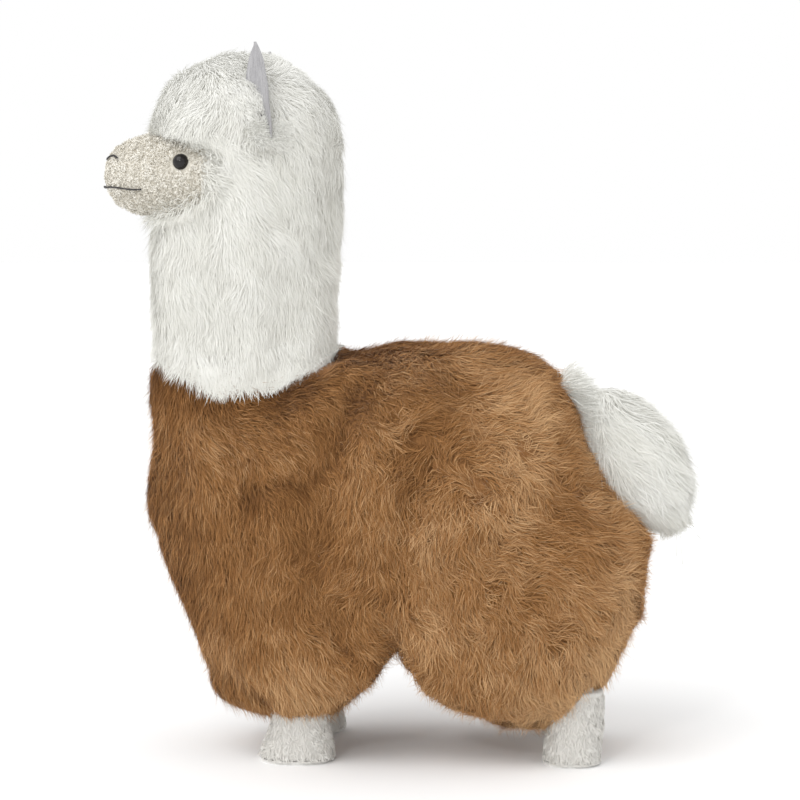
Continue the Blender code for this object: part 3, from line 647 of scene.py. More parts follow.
def hood_flow(points, out):
    """The comb's way on the hood: down, outwards and back over the top, and parted round the face so that it
    runs back over the cheeks. Two drifts turn it, stronger on the crown."""
    crown = crown_share(points)[:, None]
    high = np.clip(out[:, 2], 0.0, 1.0)
    parted = 0.9 * np.tanh(points[:, 1] / 0.008) * high
    way = np.stack((0.10 + 0.5 * high, parted, np.full(len(out), -1.0)), axis=-1)
    near = np.exp(-np.maximum(window_reach(points) - 1.0, 0.0) / 0.16)[:, None]
    part = np.stack((
        (points[:, 0] - NOSE_X) / FACE_LENGTH,
        np.zeros(len(points)),
        np.minimum((points[:, 2] - FACE_MIDDLE_HEIGHT) / FACE_HEIGHT, 0.0),
    ), axis=-1)
    way = way * (1.0 - 0.8 * near) + 1.3 * near * part
    way += (0.24 + 0.30 * crown) * wander(points, 0.045, 21)
    way += (0.20 + 0.22 * crown) * wander(points, 0.014, 22)
    return unit(laid(way, out))


def lifted(path, outs, form, gap):
    """Draws the outer points of strands up until they clear a form by a gap that grows along the strand."""
    for k in range(1, path.shape[1]):
        lift, out = lie_of(form, path[:, k])
        path[:, k] += out * np.clip(gap * k - lift, 0.0, 0.006)[:, None]
        outs[:, k] = unit(outs[:, k] + out * (lift < gap * k)[:, None])
    return path, outs


hood_points = hood_surface(*grid(70, 100, 0.05, 0.985))
hood_depth = UNDERCOAT_DEPTH + window_sink(hood_points)
hood_undercoat = skin("neck_head_undercoat", hood_points, hood_depth, hood_form)
white_mat = felted_paint("white_undercoat", (0.88, 0.87, 0.83), (0.80, 0.79, 0.74), 0.0009, 0.0007)
settle(hood_undercoat, white_mat, "wool_white", "neck_head_cover")

rng = np.random.default_rng(43)
roots = strewn(hood_surface, HOOD_STRANDS, rng)
roots = roots[window_reach(roots) > WINDOW_BARE]
count = len(roots)
reach, crown, over_hem = window_reach(roots), crown_share(roots), -hem_above(roots)
lock_nature = tufts(roots, HOOD_LOCK, 300)[1]
tuft_middle, tuft_nature = tufts(roots, WOOL_TUFT, 400)
length = HOOD_HAIR - 0.0025 * crown + 0.003 * lock_nature[:, 0] + 0.004 * (rng.random(count) - 0.5)
length = np.minimum(length, over_hem + 0.0020 + 0.0065 * rng.random(count) ** 2)
room = (reach - 1.0) * FACE_HEIGHT / 2
before_face = (roots[:, 0] < NOSE_X + FACE_LENGTH) & (roots[:, 2] > FACE_MIDDLE_HEIGHT)
length = np.where(before_face, np.minimum(length, np.maximum(room, 0.0) + 0.003), length)
beside_ears = [gap_to(roots, EAR_FOOT * (1.0, side, 1.0), EAR_TOP * (1.0, side, 1.0)) for side in (-1.0, 1.0)]
clear_of_ears = between(np.min(beside_ears, axis=0), 0.004, 0.010)
length *= 0.35 + 0.65 * clear_of_ears
loft = 0.0009 * lock_nature[:, 1] + (0.0007 + 0.0002 * crown) * tuft_nature[:, 1]
edge = 0.0016 * between(reach, 1.10, 0.95) + 0.0008 * (1.0 - clear_of_ears)
flying = np.where(rng.random(count) < 0.12, rng.random(count), 0.0)
tip = -0.0001 + 1.3 * loft + 0.0012 * (rng.random(count) - 0.5)
tip += 0.0034 * flying * (1.0 - 0.5 * crown) - 0.4 * edge
heights = (-0.0032 - edge, -0.0010 + loft - 0.7 * edge, tip)
lean = tuft_nature[:, :3] * (0.35 + 0.20 * crown)[:, None]
lean += rng.normal(size=(count, 3)) * (0.16 + 0.06 * crown)[:, None]
path, outs = combed(hood_form, roots, length, heights, hood_flow, lean)
path = gathered(path, outs[:, 0], tuft_middle, pull=0.20)
path[:, 1:] += rng.normal(scale=0.00040, size=(count, 2, 3))
low = over_hem < 0.016
path[low], outs[low] = lifted(path[low], outs[low], body_form, 0.0005)
# Painted light: lighter to the front and where the wool faces up, and on raised tufts; painted shade on
# sunken tufts.
shade = 0.60 + 0.12 * lock_nature[:, 2] + 0.16 * tuft_nature[:, 2]
shade += 0.20 * (rng.random(count) - 0.5) + 60.0 * loft - 1.2 * (roots[:, 0] - NECK_MIDDLE_X)
shade += 0.40 * np.clip(outs[:, 1, 2], 0.0, 1.0)
white_colours = ((0.585, 0.575, 0.53), (0.66, 0.655, 0.61), (0.73, 0.73, 0.705))
# The white wool's glow is painted light that lifts its shaded gaps.
white_wool = strand_paint("white_wool", white_colours, (0.62, 0.61, 0.57), 0.35, painted_glow=0.10)
hood_parts = {"neck_fleece": roots[:, 2] < CROWN_FROM, "crown_fleece": roots[:, 2] >= CROWN_FROM}
hood_finish = (white_wool, "wool_white", "neck_head_cover")
width = 0.00025 - 0.00008 * (flying > 0.0)
grown(hood_parts, hood_finish, rng, path, outs, shade, width, turn=0.22)


# Fleece of the throat: white wool rooted in the edge of the hood's hide under the chin. It stands up there
# and falls over the edge, so that no hide shows.
def swayed(rng, way, nature, together, apart):
    """Ways of strands that sway with their tuft by one share and by chance with another."""
    return unit(way + nature[:, :3] * together + rng.normal(scale=apart, size=(len(nature), 3)))


def sprouts(roots, way, length, knee, lifts):
    """Paths of short strands: root, knee at a share of the length, and tip, each moved by its lift."""
    run = way * length[:, None]
    return np.stack([roots + run * share + lift for share, lift in zip((0.0, knee, 1.0), lifts)], axis=1)


roots = strewn(hood_surface, THROAT_STRANDS, rng)
reach = window_reach(roots)
roots = roots[(reach > THROAT_BAND[0]) & (reach < THROAT_BAND[1]) & (roots[:, 2] < THROAT_TOP)]
count = len(roots)
lift, out = lie_of(hood_form, roots)
inward = 0.0022 + window_sink(roots) * rng.random(count)
nature = tufts(roots, WOOL_TUFT, 470)[1]
way = swayed(rng, 0.75 * out + (0.12, 0.0, -0.10), nature, together=0.5, apart=0.20)
roots = roots - out * (inward + lift)[:, None]
length = inward + rng.uniform(0.0030, 0.0055, count)
path = sprouts(roots, way, length, 0.6, (0.0, (0.0, 0.0, 0.0006), 0.0))
path[:, 2, 2] -= rng.uniform(0.0, 0.0030, count)
shade = 0.58 + 0.2 * nature[:, 3] + 0.2 * (rng.random(count) - 0.5)
outs = unit(0.6 * out + (0.0, 0.0, 0.8))
grown("throat_fleece", hood_finish, rng, path, outs, shade, width=0.00026, turn=0.3)


# Face: a cream cover shorn to a short, tightly curled pile. It is blunt at the nose, stuffed from behind
# and sewn into the hood's opening.
FACE_WIDTH = 0.054
NOSE_HEIGHT = 0.015
NOSE_WIDTH = 0.014
NOSE_ROUNDING = 0.006
BROW_FULLNESS = 3.0
CHEEK_FULLNESS = 1.5
EYE_DIAMETER = 0.006
EYE_BACK = 0.0316
EYE_RISE = 0.0044
EYE_BULGE = 0.0028
FACE_FLARE = 1.9
FACE_CURLS = 18000
CURL_SIZE = 0.0027


def face_halves(back):
    """Half height and half width of the face at a distance back from the nose: a quarter circle for the
    blunt tip, plus what the flare adds, one less a falling power of the share of the face's length."""
    share = np.clip(back / FACE_LENGTH, 0.0, 1.0)
    blunt = np.sqrt(1.0 - (1.0 - np.clip(back / NOSE_ROUNDING, 0.0, 1.0)) ** 2)
    height = NOSE_HEIGHT * blunt + (FACE_HEIGHT - NOSE_HEIGHT) * (1.0 - (1.0 - share) ** BROW_FULLNESS)
    width = NOSE_WIDTH * blunt + (FACE_WIDTH - NOSE_WIDTH) * (1.0 - (1.0 - share) ** CHEEK_FULLNESS)
    return height / 2, width / 2


def face_point(back, angle):
    """A point of the face: angle 0 is the left cheek, a quarter turn the brow."""
    height, width = face_halves(back)
    return np.stack((
        NOSE_X + back, -width * np.cos(angle), FACE_MIDDLE_HEIGHT + height * np.sin(angle)
    ), axis=-1)


def face_out(back, angle):
    """The way out of the face: the cross product of its slopes along and round it, turned outwards."""
    along = face_point(back + 0.0003, angle) - face_point(np.maximum(back - 0.0003, 0.0), angle)
    round_it = face_point(back, angle + 0.02) - face_point(back, angle - 0.02)
    out = unit(np.cross(along, round_it))
    spoke = face_point(back, angle) - np.stack((
        NOSE_X + back, np.zeros_like(back), np.full_like(back, FACE_MIDDLE_HEIGHT)), axis=-1)
    return out * np.where((out * spoke).sum(axis=-1, keepdims=True) < 0.0, -1.0, 1.0)


def face_place(y, rise):
    """How far back the face passes a y and a rise above its middle line, halving the range forty times, and
    the angle there."""
    near, far = np.zeros_like(y), np.full_like(y, FACE_LENGTH)
    for _ in range(40):
        back = (near + far) / 2
        height, width = face_halves(back)
        outside = (y / width) ** 2 + (rise / height) ** 2 > 1.0
        near, far = np.where(outside, back, near), np.where(outside, far, back)
    height, width = face_halves(back)
    return back, np.arctan2(rise / height, -y / width)


share, turn = grid(40, 64, 0.004)
face_back, face_angle = FACE_LENGTH * share ** FACE_FLARE, 2 * math.pi * turn
face_points = face_point(face_back, face_angle) - 0.0003 * face_out(face_back, face_angle)
face_skin = skin("face_skin", face_points)
cream_mat = felted_paint("cream_undercoat", (0.74, 0.71, 0.63), (0.60, 0.56, 0.48), 0.0012, 0.0006,
                         stretch=(1.0, 1.0, 1.0))
settle(face_skin, cream_mat, "shorn_cream", "face_cover")

EYE_ANGLE = math.asin(EYE_RISE / face_halves(np.array(EYE_BACK))[0])
eye_places = [(EYE_ANGLE, "left"), (math.pi - EYE_ANGLE, "right")]
eye_middles = [face_point(np.array(EYE_BACK), np.array(angle)) for angle, _ in eye_places]

corner = face_halves(np.array(0.016))[1]
reach = np.linspace(-1.0, 1.0, 97)
mouth_y = 0.95 * corner * np.sign(reach) * np.abs(reach) ** 0.8
mouth_rise = -0.0045 * (0.84 + 0.32 * np.abs(reach) + 0.05 * np.sin(3 * math.pi * np.abs(reach)))
wing = face_halves(np.array(0.006))[1]
reach = np.linspace(0.0, 1.0, 33)
nostril_rise = 0.0055 + 0.0012 * np.sin(math.pi * reach)
seams = [
    ("mouth_thread", "mouth_stitch", mouth_y, mouth_rise),
    ("left_nostril_thread", "left_nostril_stitch", -(0.42 * wing + 0.0055 * reach), nostril_rise),
    ("right_nostril_thread", "right_nostril_stitch", 0.42 * wing + 0.0055 * reach, nostril_rise),
]
thread_lines = []
for _, _, y, rise in seams:
    back, angle = face_place(y, rise)
    thread_lines.append(face_point(back, angle) + face_out(back, angle) * 0.0010)


def face_surface(along, around):
    """A point of the face from two shares, from the nose back and round from the left cheek."""
    return face_point(FACE_LENGTH * (0.002 + 0.998 * along) ** FACE_FLARE, 2 * math.pi * around)


rng = np.random.default_rng(47)
roots = strewn(face_surface, FACE_CURLS, rng)
back, angle = face_place(roots[:, 1], roots[:, 2] - FACE_MIDDLE_HEIGHT)
out = face_out(back, angle)
clear = np.ones(len(roots), dtype=bool)
for middle in eye_middles:
    clear &= np.linalg.norm(roots - middle, axis=-1) > EYE_DIAMETER / 2 + 0.0013
for line in thread_lines:
    gap = np.linalg.norm(roots[:, None, :] - line[None, ::3, :], axis=-1).min(axis=1)
    clear &= gap > 0.0010
roots, out = roots[clear], out[clear]
count = len(roots)
curl_middle, curl_nature = tufts(roots, CURL_SIZE, 500)
dome = np.clip(1.0 - (np.linalg.norm(roots - curl_middle, axis=-1) / 0.0016) ** 2, 0.0, 1.0)
first = unit(np.cross(out, curl_nature[:, :3] + 0.25 * rng.normal(size=(count, 3))))
second = np.cross(out, first)
start = 2 * math.pi * rng.random(count)
turn = start[:, None] + np.linspace(0.0, 1.0, 4) * 3.6
radius = (0.00045 + 0.00025 * rng.random(count))[:, None]
path = roots[:, None, :] + first[:, None, :] * (radius * (np.cos(turn) - np.cos(turn[:, :1])))[..., None]
path = path + second[:, None, :] * (radius * (np.sin(turn) - np.sin(turn[:, :1])))[..., None]
puff = 0.0001 + 0.0012 * dome + 0.0003 * curl_nature[:, 3] + 0.0003 * rng.random(count)
puff *= 0.4 + 0.6 * between(roots[:, 0], NOSE_X, NOSE_X + 0.008)
lift = puff[:, None] * (0.0, 0.75, 1.1, 0.7) - (0.0004, 0.0, 0.0, 0.0)
path = gathered(path + out[:, None, :] * lift[..., None], out, curl_middle, pull=0.50)
# Painted light on the tops of the curled knobs and painted shade between them, each knob also with a tone of
# its own; the pile's glow is painted light too.
shade = 0.34 + 0.42 * dome + 0.45 * curl_nature[:, 3] + 0.16 * (rng.random(count) - 0.5)
cream_colours = ((0.56, 0.52, 0.44), (0.76, 0.73, 0.66), (0.91, 0.89, 0.83))
cream_pile = strand_paint("cream_pile", cream_colours, (0.58, 0.54, 0.46), 0.5, painted_glow=0.03)
face_finish = (cream_pile, "shorn_cream", "face_cover")
grown("face_pile", face_finish, rng, path, out, shade, width=0.00026, turn=0.7)


# Fringe of the face: white wool that hides the seam round it. Its hair is rooted along the edge of the face
# and combed back.
FRINGE_STRANDS = 9000
FRINGE_FROM = 0.86
rng = np.random.default_rng(49)
back = FACE_LENGTH * (FRINGE_FROM + (1.0 - FRINGE_FROM) * rng.random(FRINGE_STRANDS) ** 0.7)
angle = 2 * math.pi * rng.random(FRINGE_STRANDS)
roots, out = face_point(back, angle), face_out(back, angle)
clear = np.ones(FRINGE_STRANDS, dtype=bool)
for middle in eye_middles:
    clear &= (np.linalg.norm(roots - middle, axis=-1) > 0.0052) | (roots[:, 0] > middle[0] + 0.005)
roots, out = roots[clear], out[clear]
count = len(roots)
nature = tufts(roots, WOOL_TUFT, 450)[1]
way = swayed(rng, 0.30 * out + (0.75, 0.0, -0.5), nature, together=0.5, apart=0.20)
late = between((roots[:, 0] - NOSE_X) / FACE_LENGTH, FRINGE_FROM, 1.0)
length = (0.0035 + 0.0055 * late) * (0.7 + 0.6 * rng.random(count))
path = sprouts(roots, way, length, 0.5, (-0.0008 * out, 0.0008 * out, 0.0))
path[:, 1:] += rng.normal(scale=0.0003, size=(count, 2, 3))
shade = 0.25 + 0.45 * late + 0.15 * nature[:, 3] + 0.2 * (rng.random(count) - 0.5)
grown("face_fringe", hood_finish, rng, path, out, shade, width=0.00024, turn=0.3)


# Eyes: black glass-clear beads on shanks, pressed into the pile from in front. Each is held by a washer
# behind the cover.
def clouded_paint(name, first, second, scale, detail=2.0, **constants):
    """A smooth finish that drifts between two close colours with noise of a scale."""
    paint = Paint(name, **constants)
    place = paint.node("TexCoord", {}, {}, output=3)
    cloud = paint.node("TexNoise", {}, {0: place, "Scale": scale, "Detail": detail})
    return paint.feed(base_color=paint.mixed(cloud, (*first, 1.0), (*second, 1.0)))


eye_mat = clouded_paint("eye_bead", (0.006, 0.006, 0.007), (0.016, 0.012, 0.010), 700.0,
                        roughness=0.08, specular_ior_level=0.35)
for (angle, hand), middle in zip(eye_places, eye_middles):
    out = face_out(np.array([EYE_BACK]), np.array([angle]))[0]
    first = unit(np.cross(out, (0.0, 0.0, 1.0)))
    second = np.cross(out, first)
    dome = np.linspace(-0.35, 0.995, 24)
    radius = np.concatenate(([0.0008, 0.0008], EYE_DIAMETER / 2 * np.sqrt(1.0 - dome ** 2)))
    rise = np.concatenate(([-0.0049, -0.0009], EYE_BULGE * dome))
    around = np.linspace(0.0, 2 * math.pi, 40, endpoint=False)
    ring = first * np.cos(around)[:, None] + second * np.sin(around)[:, None]
    points = middle + out * rise[:, None, None] + ring * radius[:, None, None]
    eye = skin(f"{hand}_eye_bead", points)
    settle(eye, eye_mat, "bead_black", f"{hand}_eye")


# Mouth and nostrils: black two-ply thread. It is drawn through the cover with a needle and lies on the pile
# in three stitches.
def plied(name, line, outs, ply=0.00021, pitch=0.0014):
    """Two plies that wind round one line: each is a ring of eight points carried along a helix."""
    way = unit(np.gradient(line, axis=0))
    side = unit(np.cross(way, outs))
    over = np.cross(side, way)
    run = np.concatenate(([0.0], np.cumsum(np.linalg.norm(np.diff(line, axis=0), axis=1))))
    round_it = np.linspace(0.0, 2 * math.pi, 8, endpoint=False)
    spots, faces = [], []
    for half_turn in (0.0, math.pi):
        twist = 2 * math.pi * run / pitch + half_turn
        middle = line + ply * (side * np.cos(twist)[:, None] + over * np.sin(twist)[:, None])
        ring = side[:, None, :] * np.cos(round_it)[:, None] + over[:, None, :] * np.sin(round_it)[:, None]
        tube = middle[:, None, :] + ply * 1.15 * ring
        index = np.arange(tube.shape[0] * 8).reshape(-1, 8) + len(spots)
        after = np.roll(index, -1, axis=1)
        spots += tube.reshape(-1, 3).tolist()
        faces += np.stack((index[:-1], index[1:], after[1:], after[:-1]), axis=-1).reshape(-1, 4).tolist()
        faces += [index[0].tolist(), index[-1][::-1].tolist()]
    mesh = bpy.data.meshes.new(name)
    mesh.from_pydata(spots, [], faces)
    mesh.shade_smooth()
    return placed(name, mesh)


thread_mat = clouded_paint("black_thread", (0.012, 0.010, 0.010), (0.050, 0.044, 0.042), 5000.0, detail=3.0,
                           roughness=0.75, sheen_weight=0.2)
for (name, node, y, rise), line in zip(seams, thread_lines):
    back, angle = face_place(y, rise)
    thread = plied(name, line, face_out(back, angle))
    settle(thread, thread_mat, "thread_black", node)


# Ears: leaves of grey suede, cupped forward. They are sewn into the crown, where the fleece hides their
# roots.
HANDS = (("left", -1.0), ("right", 1.0))
EAR_LENGTH = 0.036
EAR_WIDTH = 0.0125
EAR_THICKNESS = 0.0012
EAR_CUP = 0.0026
EAR_BASE = np.array([-0.0440, 0.0300, 0.2275])
EAR_SPLAY = math.radians(13.0)
EAR_TURN = math.radians(42.0)


def ear_points(side):
    """Rings up the ear: front and back skin from edge to edge, dished by the square of the share across, as
    wide as a stretched sine along the leaf, then leaned out, turned and set on its base."""
    share = np.linspace(0.0, 1.0, 40)[:, None]
    spread = np.linspace(-1.0, 1.0, 18)[None, :]
    swell = np.maximum(np.sin(math.pi * (0.08 + 0.92 * share)), 0.02) ** 0.75
    curl = 0.0007 * np.sin(share * 7.0 + 1.0 + spread * 1.5) * share
    dish = EAR_CUP * swell * spread ** 2 + curl
    half_skin = EAR_THICKNESS / 2 * np.sqrt(np.clip(1.04 - spread ** 2, 0.0, 1.0)) * (1.0 - 0.35 * share)
    y = EAR_WIDTH / 2 * swell * spread * (1.0 + 0.04 * np.sin(share * 19.0 + spread * 2.0))
    z = EAR_LENGTH * share + 0 * spread
    front = np.stack((-dish - half_skin, y, z), axis=-1)
    rear = np.stack((-dish + half_skin, y, z), axis=-1)[:, ::-1]
    points = np.concatenate((front, rear), axis=1)
    lean, turn = side * EAR_SPLAY, -side * EAR_TURN
    about_x = np.array(((1, 0, 0), (0, math.cos(lean), -math.sin(lean)), (0, math.sin(lean), math.cos(lean))))
    about_z = np.array(((math.cos(turn), -math.sin(turn), 0), (math.sin(turn), math.cos(turn), 0), (0, 0, 1)))
    return points @ (about_z @ about_x).T + EAR_BASE * (1.0, side, 1.0)


suede_mat = felted_paint("grey_suede", (0.45, 0.445, 0.45), (0.28, 0.275, 0.285), 0.0011, 0.0004,
                         stretch=(1.4, 1.4, 0.15))
for hand, side in HANDS:
    ear = skin(f"{hand}_ear_leaf", ear_points(side))
    settle(ear, suede_mat, "suede_grey", f"{hand}_ear")


# Fleece at the ears: white wool of the crown, laid over the foot of each leaf. Its short curved hair stands
# up round the leaf and covers the stitches.
EAR_TUFT_STRANDS = 3200
rng = np.random.default_rng(51)
for hand, side in HANDS:
    turn = rng.uniform(0.0, 2 * math.pi, EAR_TUFT_STRANDS)
    far = rng.uniform(0.0015, 0.0070, EAR_TUFT_STRANDS)
    roots = np.stack((
        EAR_BASE[0] - 0.001 + 1.1 * far * np.cos(turn),
        side * EAR_BASE[1] + 0.9 * far * np.sin(turn),
        EAR_BASE[2] + rng.uniform(-0.003, 0.0045, EAR_TUFT_STRANDS),
    ), axis=-1)
    lift, out = lie_of(hood_form, roots)
    roots = roots - out * (lift + 0.0030)[:, None]
    nature = tufts(roots, WOOL_TUFT, 460)[1]
    way = swayed(rng, 0.6 * out + (0.25, 0.0, 0.25), nature, together=0.6, apart=0.22)
    length = rng.uniform(0.0040, 0.0066, EAR_TUFT_STRANDS)
    path = sprouts(roots, way, length, 0.55, (0.0, 0.0, (0.0, 0.0, -0.0009)))
    shade = 0.85 + 0.2 * (rng.random(EAR_TUFT_STRANDS) - 0.5)
    outs = unit(out + (0.0, 0.8 * side, 0.0))
    grown(f"{hand}_ear_foot_fleece", hood_finish, rng, path, outs, shade, width=0.00022, turn=0.3)


# Legs: white covers shorn short over stuffing, each a stubby column with a fuller foot. They are sewn to the
# belly, and a sole of white felt closes each one from below.
LEG_SPACING = 0.053
LEG_WIDTH = 0.0200
FOOT_HEIGHT = 0.0075
TOE_REACH = 0.0012
LEG_FOOT = 0.0015
LEG_TOP = 0.027
LEG_STRANDS = 4500
LEG_SQUARENESS = 2.4
CURL_TUFT = 0.0022


def leg_surface(middle_x, foot_length, side):
    """A leg from two shares, upwards and round. Its squared-off ring is widest at the foot, where it is also
    pushed to the toe, and the foot's share falls smoothly to none at twice its height."""
    def surface(upward, around):
        cosine, sine = squared_turn(around, LEG_SQUARENESS)
        z = LEG_FOOT + (LEG_TOP - LEG_FOOT) * upward
        heights = (LEG_FOOT, FOOT_HEIGHT * 0.45, FOOT_HEIGHT, FOOT_HEIGHT * 1.9, LEG_TOP)
        share = np.interp(z, heights, (0.93, 1.0, 0.62, 0.06, 0.0))
        x = middle_x - TOE_REACH * share + (LEG_WIDTH + (foot_length - LEG_WIDTH) * share) / 2 * cosine
        y = side * LEG_SPACING / 2 + LEG_WIDTH / 2 * (1.0 + 0.06 * share) * sine
        return np.stack((x, y, z), axis=-1)
    return surface


# The leg pile and its undercoat are coloured greyer than the hood's wool, as painted shade for legs that
# stand under the belly; the pile's glow is painted light.
short_colours = ((0.58, 0.565, 0.53), (0.64, 0.625, 0.59), (0.70, 0.685, 0.65))
short_pile = strand_paint("white_pile", short_colours, (0.54, 0.525, 0.49), 0.4, painted_glow=0.06)
leg_mat = felted_paint("white_short_undercoat", (0.68, 0.665, 0.63), (0.58, 0.565, 0.53), 0.0008, 0.0005)
rng = np.random.default_rng(53)
for end, middle_x, foot_length in (("fore", -0.0337, 0.0263), ("hind", 0.0671, 0.0196)):
    for hand, side in HANDS:
        name = f"{hand}_{end}_leg"
        surface = leg_surface(middle_x, foot_length, side)
        leg_skin = skin(f"{name}_skin", surface(*grid(20, 36)))
        settle(leg_skin, leg_mat, "shorn_white", f"{name}_cover")
        upward, around = rng.random(LEG_STRANDS) ** 1.15 * 0.985, rng.random(LEG_STRANDS)
        roots = surface(upward, around)
        along = surface(upward + 0.01, around) - surface(upward - 0.01, around)
        out = unit(np.cross(surface(upward, around + 0.004) - surface(upward, around - 0.004), along))
        middle, nature = tufts(roots, CURL_TUFT, 600)
        way = laid(swayed(rng, np.array([0.1, 0.0, -1.0]), nature, together=1.1, apart=0.35), out)
        length = 0.0026 + 0.0012 * rng.random(LEG_STRANDS)
        puff = 0.00075 + 0.0005 * nature[:, 3:]
        path = sprouts(roots, way, length, 0.5, (-0.0003 * out, 0.8 * puff * out, puff * out))
        path = gathered(path, out, middle, pull=0.35)
        path[:, :, 2] = np.maximum(path[:, :, 2], 0.0009)
        shade = 0.55 + 0.3 * nature[:, 3] + 0.30 * (rng.random(LEG_STRANDS) - 0.5)
        leg_finish = (short_pile, "shorn_white", f"{name}_cover")
        grown(f"{name}_pile", leg_finish, rng, path, out, shade, width=0.00024, turn=0.3)

felt_mat = felted_paint("white_felt", (0.78, 0.77, 0.75), (0.64, 0.63, 0.60), 0.0008, 0.0003,
                        stretch=(1.0, 1.0, 1.0))
for end in ("fore", "hind"):
    for hand in ("left", "right"):
        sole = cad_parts[f"{hand}_{end}_sole"]
        sole.data.materials.clear()
        sole.data.materials.append(felt_mat)


# Tail: a full tuft of long white fleece on a small bag of hide. It is sewn to the rump by its root and
# droops over it.
TAIL_LENGTH = 0.067
TAIL_THICKNESS = 0.036
TAIL_WIDTH = 0.042
TAIL_ROOT = np.array([0.0700, 0.0, 0.1390])
TAIL_DROOP = math.radians(57.0)
TAIL_AXIS = np.array([math.cos(TAIL_DROOP), 0.0, -math.sin(TAIL_DROOP)])
TAIL_UP = np.array([math.sin(TAIL_DROOP), 0.0, math.cos(TAIL_DROOP)])
TAIL_STRANDS = 23000
TAIL_LOCK = 0.010
TAIL_HAIR = 0.014


def tail_fullness(share):
    """Thickness along the tail against its greatest: a stretched sine of the share of its length."""
    return np.sin(math.pi * share ** 1.15) ** 0.62


def tail_surface(along, around):
    """The tuft from two shares, along its axis and round it."""
    angle = 2 * math.pi * around
    share = 0.02 + 0.96 * along
    full = tail_fullness(share)
    ring = (np.cos(angle) * TAIL_THICKNESS / 2 * full)[..., None] * TAIL_UP
    ring = ring + (np.sin(angle) * TAIL_WIDTH / 2 * full)[..., None] * np.array([0.0, 1.0, 0.0])
    return TAIL_ROOT + TAIL_AXIS * (TAIL_LENGTH * share)[..., None] + ring


def tail_form(points):
    """Height over the tuft, away from its axis."""
    away = points - TAIL_ROOT
    share = np.clip(away @ TAIL_AXIS / TAIL_LENGTH, 0.02, 0.98)
    full = tail_fullness(share)
    up, across = away @ TAIL_UP, away[..., 1]
    out = squared(up / (TAIL_THICKNESS / 2 * full), across / (TAIL_WIDTH / 2 * full), 2.0)
    return np.hypot(up, across) * (1.0 - 1.0 / np.maximum(out, 0.15))


def tail_flow(points, out):
    """The comb's way on the tail: away from a point ahead of its root, turned by two drifts."""
    way = 1.2 * unit(points - TAIL_ROOT + 0.012 * TAIL_AXIS) + 0.3 * TAIL_AXIS
    way += 0.28 * wander(points, 0.04, 31) + 0.30 * wander(points, 0.012, 32)
    return unit(laid(way, out))


tail_undercoat = skin("tail_undercoat", tail_surface(*grid(40, 56))[::-1], 0.0035, tail_form)
settle(tail_undercoat, white_mat, "wool_white", "tail")

rng = np.random.default_rng(59)
roots = strewn(tail_surface, TAIL_STRANDS, rng, 40, 60)
roots = roots[body_form(roots) > -0.006]
count = len(roots)
lock_nature = tufts(roots, TAIL_LOCK, 700)[1]
tuft_middle, tuft_nature = tufts(roots, WOOL_TUFT, 800)
beyond = between((roots - TAIL_ROOT) @ TAIL_AXIS / TAIL_LENGTH, 0.6, 1.0)
length = TAIL_HAIR + 0.004 * lock_nature[:, 0] + 0.005 * (rng.random(count) - 0.5)
length *= 1.0 - 0.62 * beyond
loft = 0.0014 * lock_nature[:, 1] + 0.0012 * tuft_nature[:, 1]
flying = np.where(rng.random(count) < 0.30, rng.random(count), 0.0)
tip = 0.0002 + 1.3 * loft + 0.0014 * (rng.random(count) - 0.5) + 0.0046 * flying
lean = tuft_nature[:, :3] * 0.4 + rng.normal(scale=0.15, size=(count, 3))
path, outs = combed(tail_form, roots, length, (-0.0036, -0.0010 + loft, tip), tail_flow, lean)
path = gathered(path, outs[:, 0], tuft_middle, pull=0.34)
path[:, 1:] += rng.normal(scale=0.00045, size=(count, 2, 3))
shade = 0.70 + 0.2 * lock_nature[:, 2] + 0.25 * tuft_nature[:, 2] + 0.2 * (rng.random(count) - 0.5)
tail_finish = (white_wool, "wool_white", "tail")
grown("tail_fleece", tail_finish, rng, path, outs, shade, width=0.00026, turn=0.3)

# Wisps stand up along the tail's root and fall over it, so that it grows out of the rump without an edge.
TAIL_WISPS = 5000
roots = TAIL_ROOT + TAIL_AXIS * rng.uniform(-0.007, 0.026, TAIL_WISPS)[:, None]
roots[:, 1] += rng.uniform(-0.015, 0.015, TAIL_WISPS)
lift, out = lie_of(body_form, roots)
roots = roots - out * (lift + 0.001)[:, None]
nature = tufts(roots, 0.0035, 850)[1]
way = swayed(rng, 0.40 * out + (0.45, 0.0, -0.25), nature, together=0.6, apart=0.25)
length = rng.uniform(0.006, 0.013, TAIL_WISPS)
path = sprouts(roots, way, length, 0.5, (0.0, 0.0, TAIL_AXIS * 0.0015))
shade = 0.80 + 0.3 * (rng.random(TAIL_WISPS) - 0.5)
grown("tail_root_fleece", tail_finish, rng, path, out, shade, width=0.00022, turn=0.3)


# Held inside: the polyester fibre that fills body, head and legs, pushed in before the covers are closed,
# and the plastic washers that are pressed onto the eyes' shanks.
fibre_mat = felted_paint("fibre_filling", (0.90, 0.90, 0.89), (0.78, 0.78, 0.77), 0.002, 0.001,
                         stretch=(1.0, 1.0, 1.0))
washer_mat = felted_paint("washer_plastic", (0.84, 0.84, 0.82), (0.76, 0.76, 0.74), 0.0006, 0.0001,
                          roughness=0.45, stretch=(1.0, 1.0, 1.0))
for name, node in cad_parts.items():
    if name.endswith(("stuffing", "washer")):
        node.data.materials.clear()
        node.data.materials.append(washer_mat if name.endswith("washer") else fibre_mat)


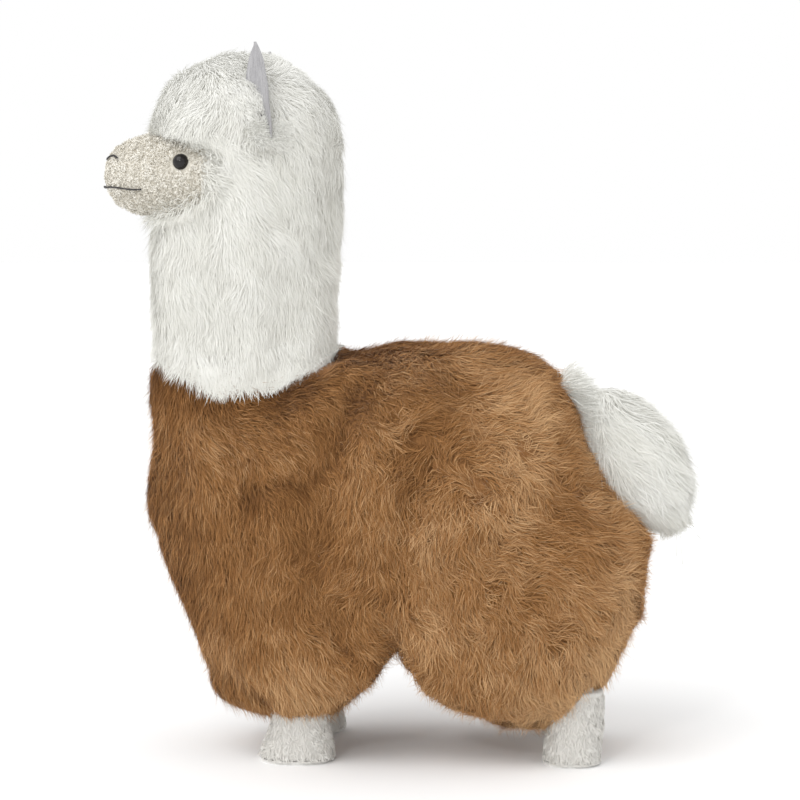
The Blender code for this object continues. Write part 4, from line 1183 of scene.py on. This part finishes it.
# Stage: a pale floor under even studio light, with a broad soft window high at the front left and a small
# flash above the camera.
FLOOR_RADIUS = 14.0
angle = np.linspace(0.0, 2 * math.pi, 96, endpoint=False)
floor_points = FLOOR_RADIUS * np.stack((np.cos(angle), np.sin(angle), 0 * angle), axis=-1)
floor_mesh = bpy.data.meshes.new("floor")
floor_mesh.from_pydata(floor_points.tolist(), [], [list(range(len(angle)))])
floor_mesh.materials.append(clouded_paint("pale_floor", (0.93, 0.93, 0.93), (0.95, 0.95, 0.95), 1.5,
                                          roughness=0.8))
placed("floor", floor_mesh)

world = bpy.data.worlds.new("studio")
world.use_nodes = True
background = world.node_tree.nodes["Background"].inputs
background["Color"].default_value = (1.0, 1.0, 1.0, 1.0)
background["Strength"].default_value = 1.0
bpy.context.scene.world = world


def looking(place, aim):
    """The matrix of something at a place whose -Z points at its aim and whose Y is as near up as can be."""
    back = unit(np.subtract(place, aim))
    right = unit(np.cross((0.0, 0.0, 1.0), back))
    matrix = np.eye(4)
    matrix[:3, :3] = np.stack((right, np.cross(back, right), back), axis=1)
    matrix[:3, 3] = place
    return Matrix(matrix.tolist())


def place_camera():
    """The camera of the photograph: 0.9 m away, a little behind the left side and four degrees up."""
    turn, rise, far = math.radians(3.0), math.radians(4.0), 0.9
    aim = np.array([0.0015, 0.0, 0.1310])
    away = np.array((math.sin(turn) * math.cos(rise), -math.cos(turn) * math.cos(rise), math.sin(rise)))
    lens = bpy.data.cameras.new("camera")
    lens.sensor_width = 36.0
    lens.lens = 108.0
    camera = placed("camera", lens)
    camera.matrix_world = looking(aim + far * away, aim)
    bpy.context.scene.camera = camera


def place_lamp(name, kind, place, energy, **settings):
    """A lamp at a place, turned to face the toy."""
    lamp = bpy.data.lights.new(name, kind)
    lamp.energy = energy
    for setting, value in settings.items():
        setattr(lamp, setting, value)
    placed(name, lamp).matrix_world = looking(place, (0.0, 0.0, 0.12))


place_lamp("window", "SUN", (-0.7, -0.9, 1.2), 1.25, angle=math.radians(50.0))
place_lamp("flash", "AREA", (-0.30, -1.10, 0.62), 1.6, size=0.10)
place_camera()
bpy.context.scene.view_settings.view_transform = "Standard"
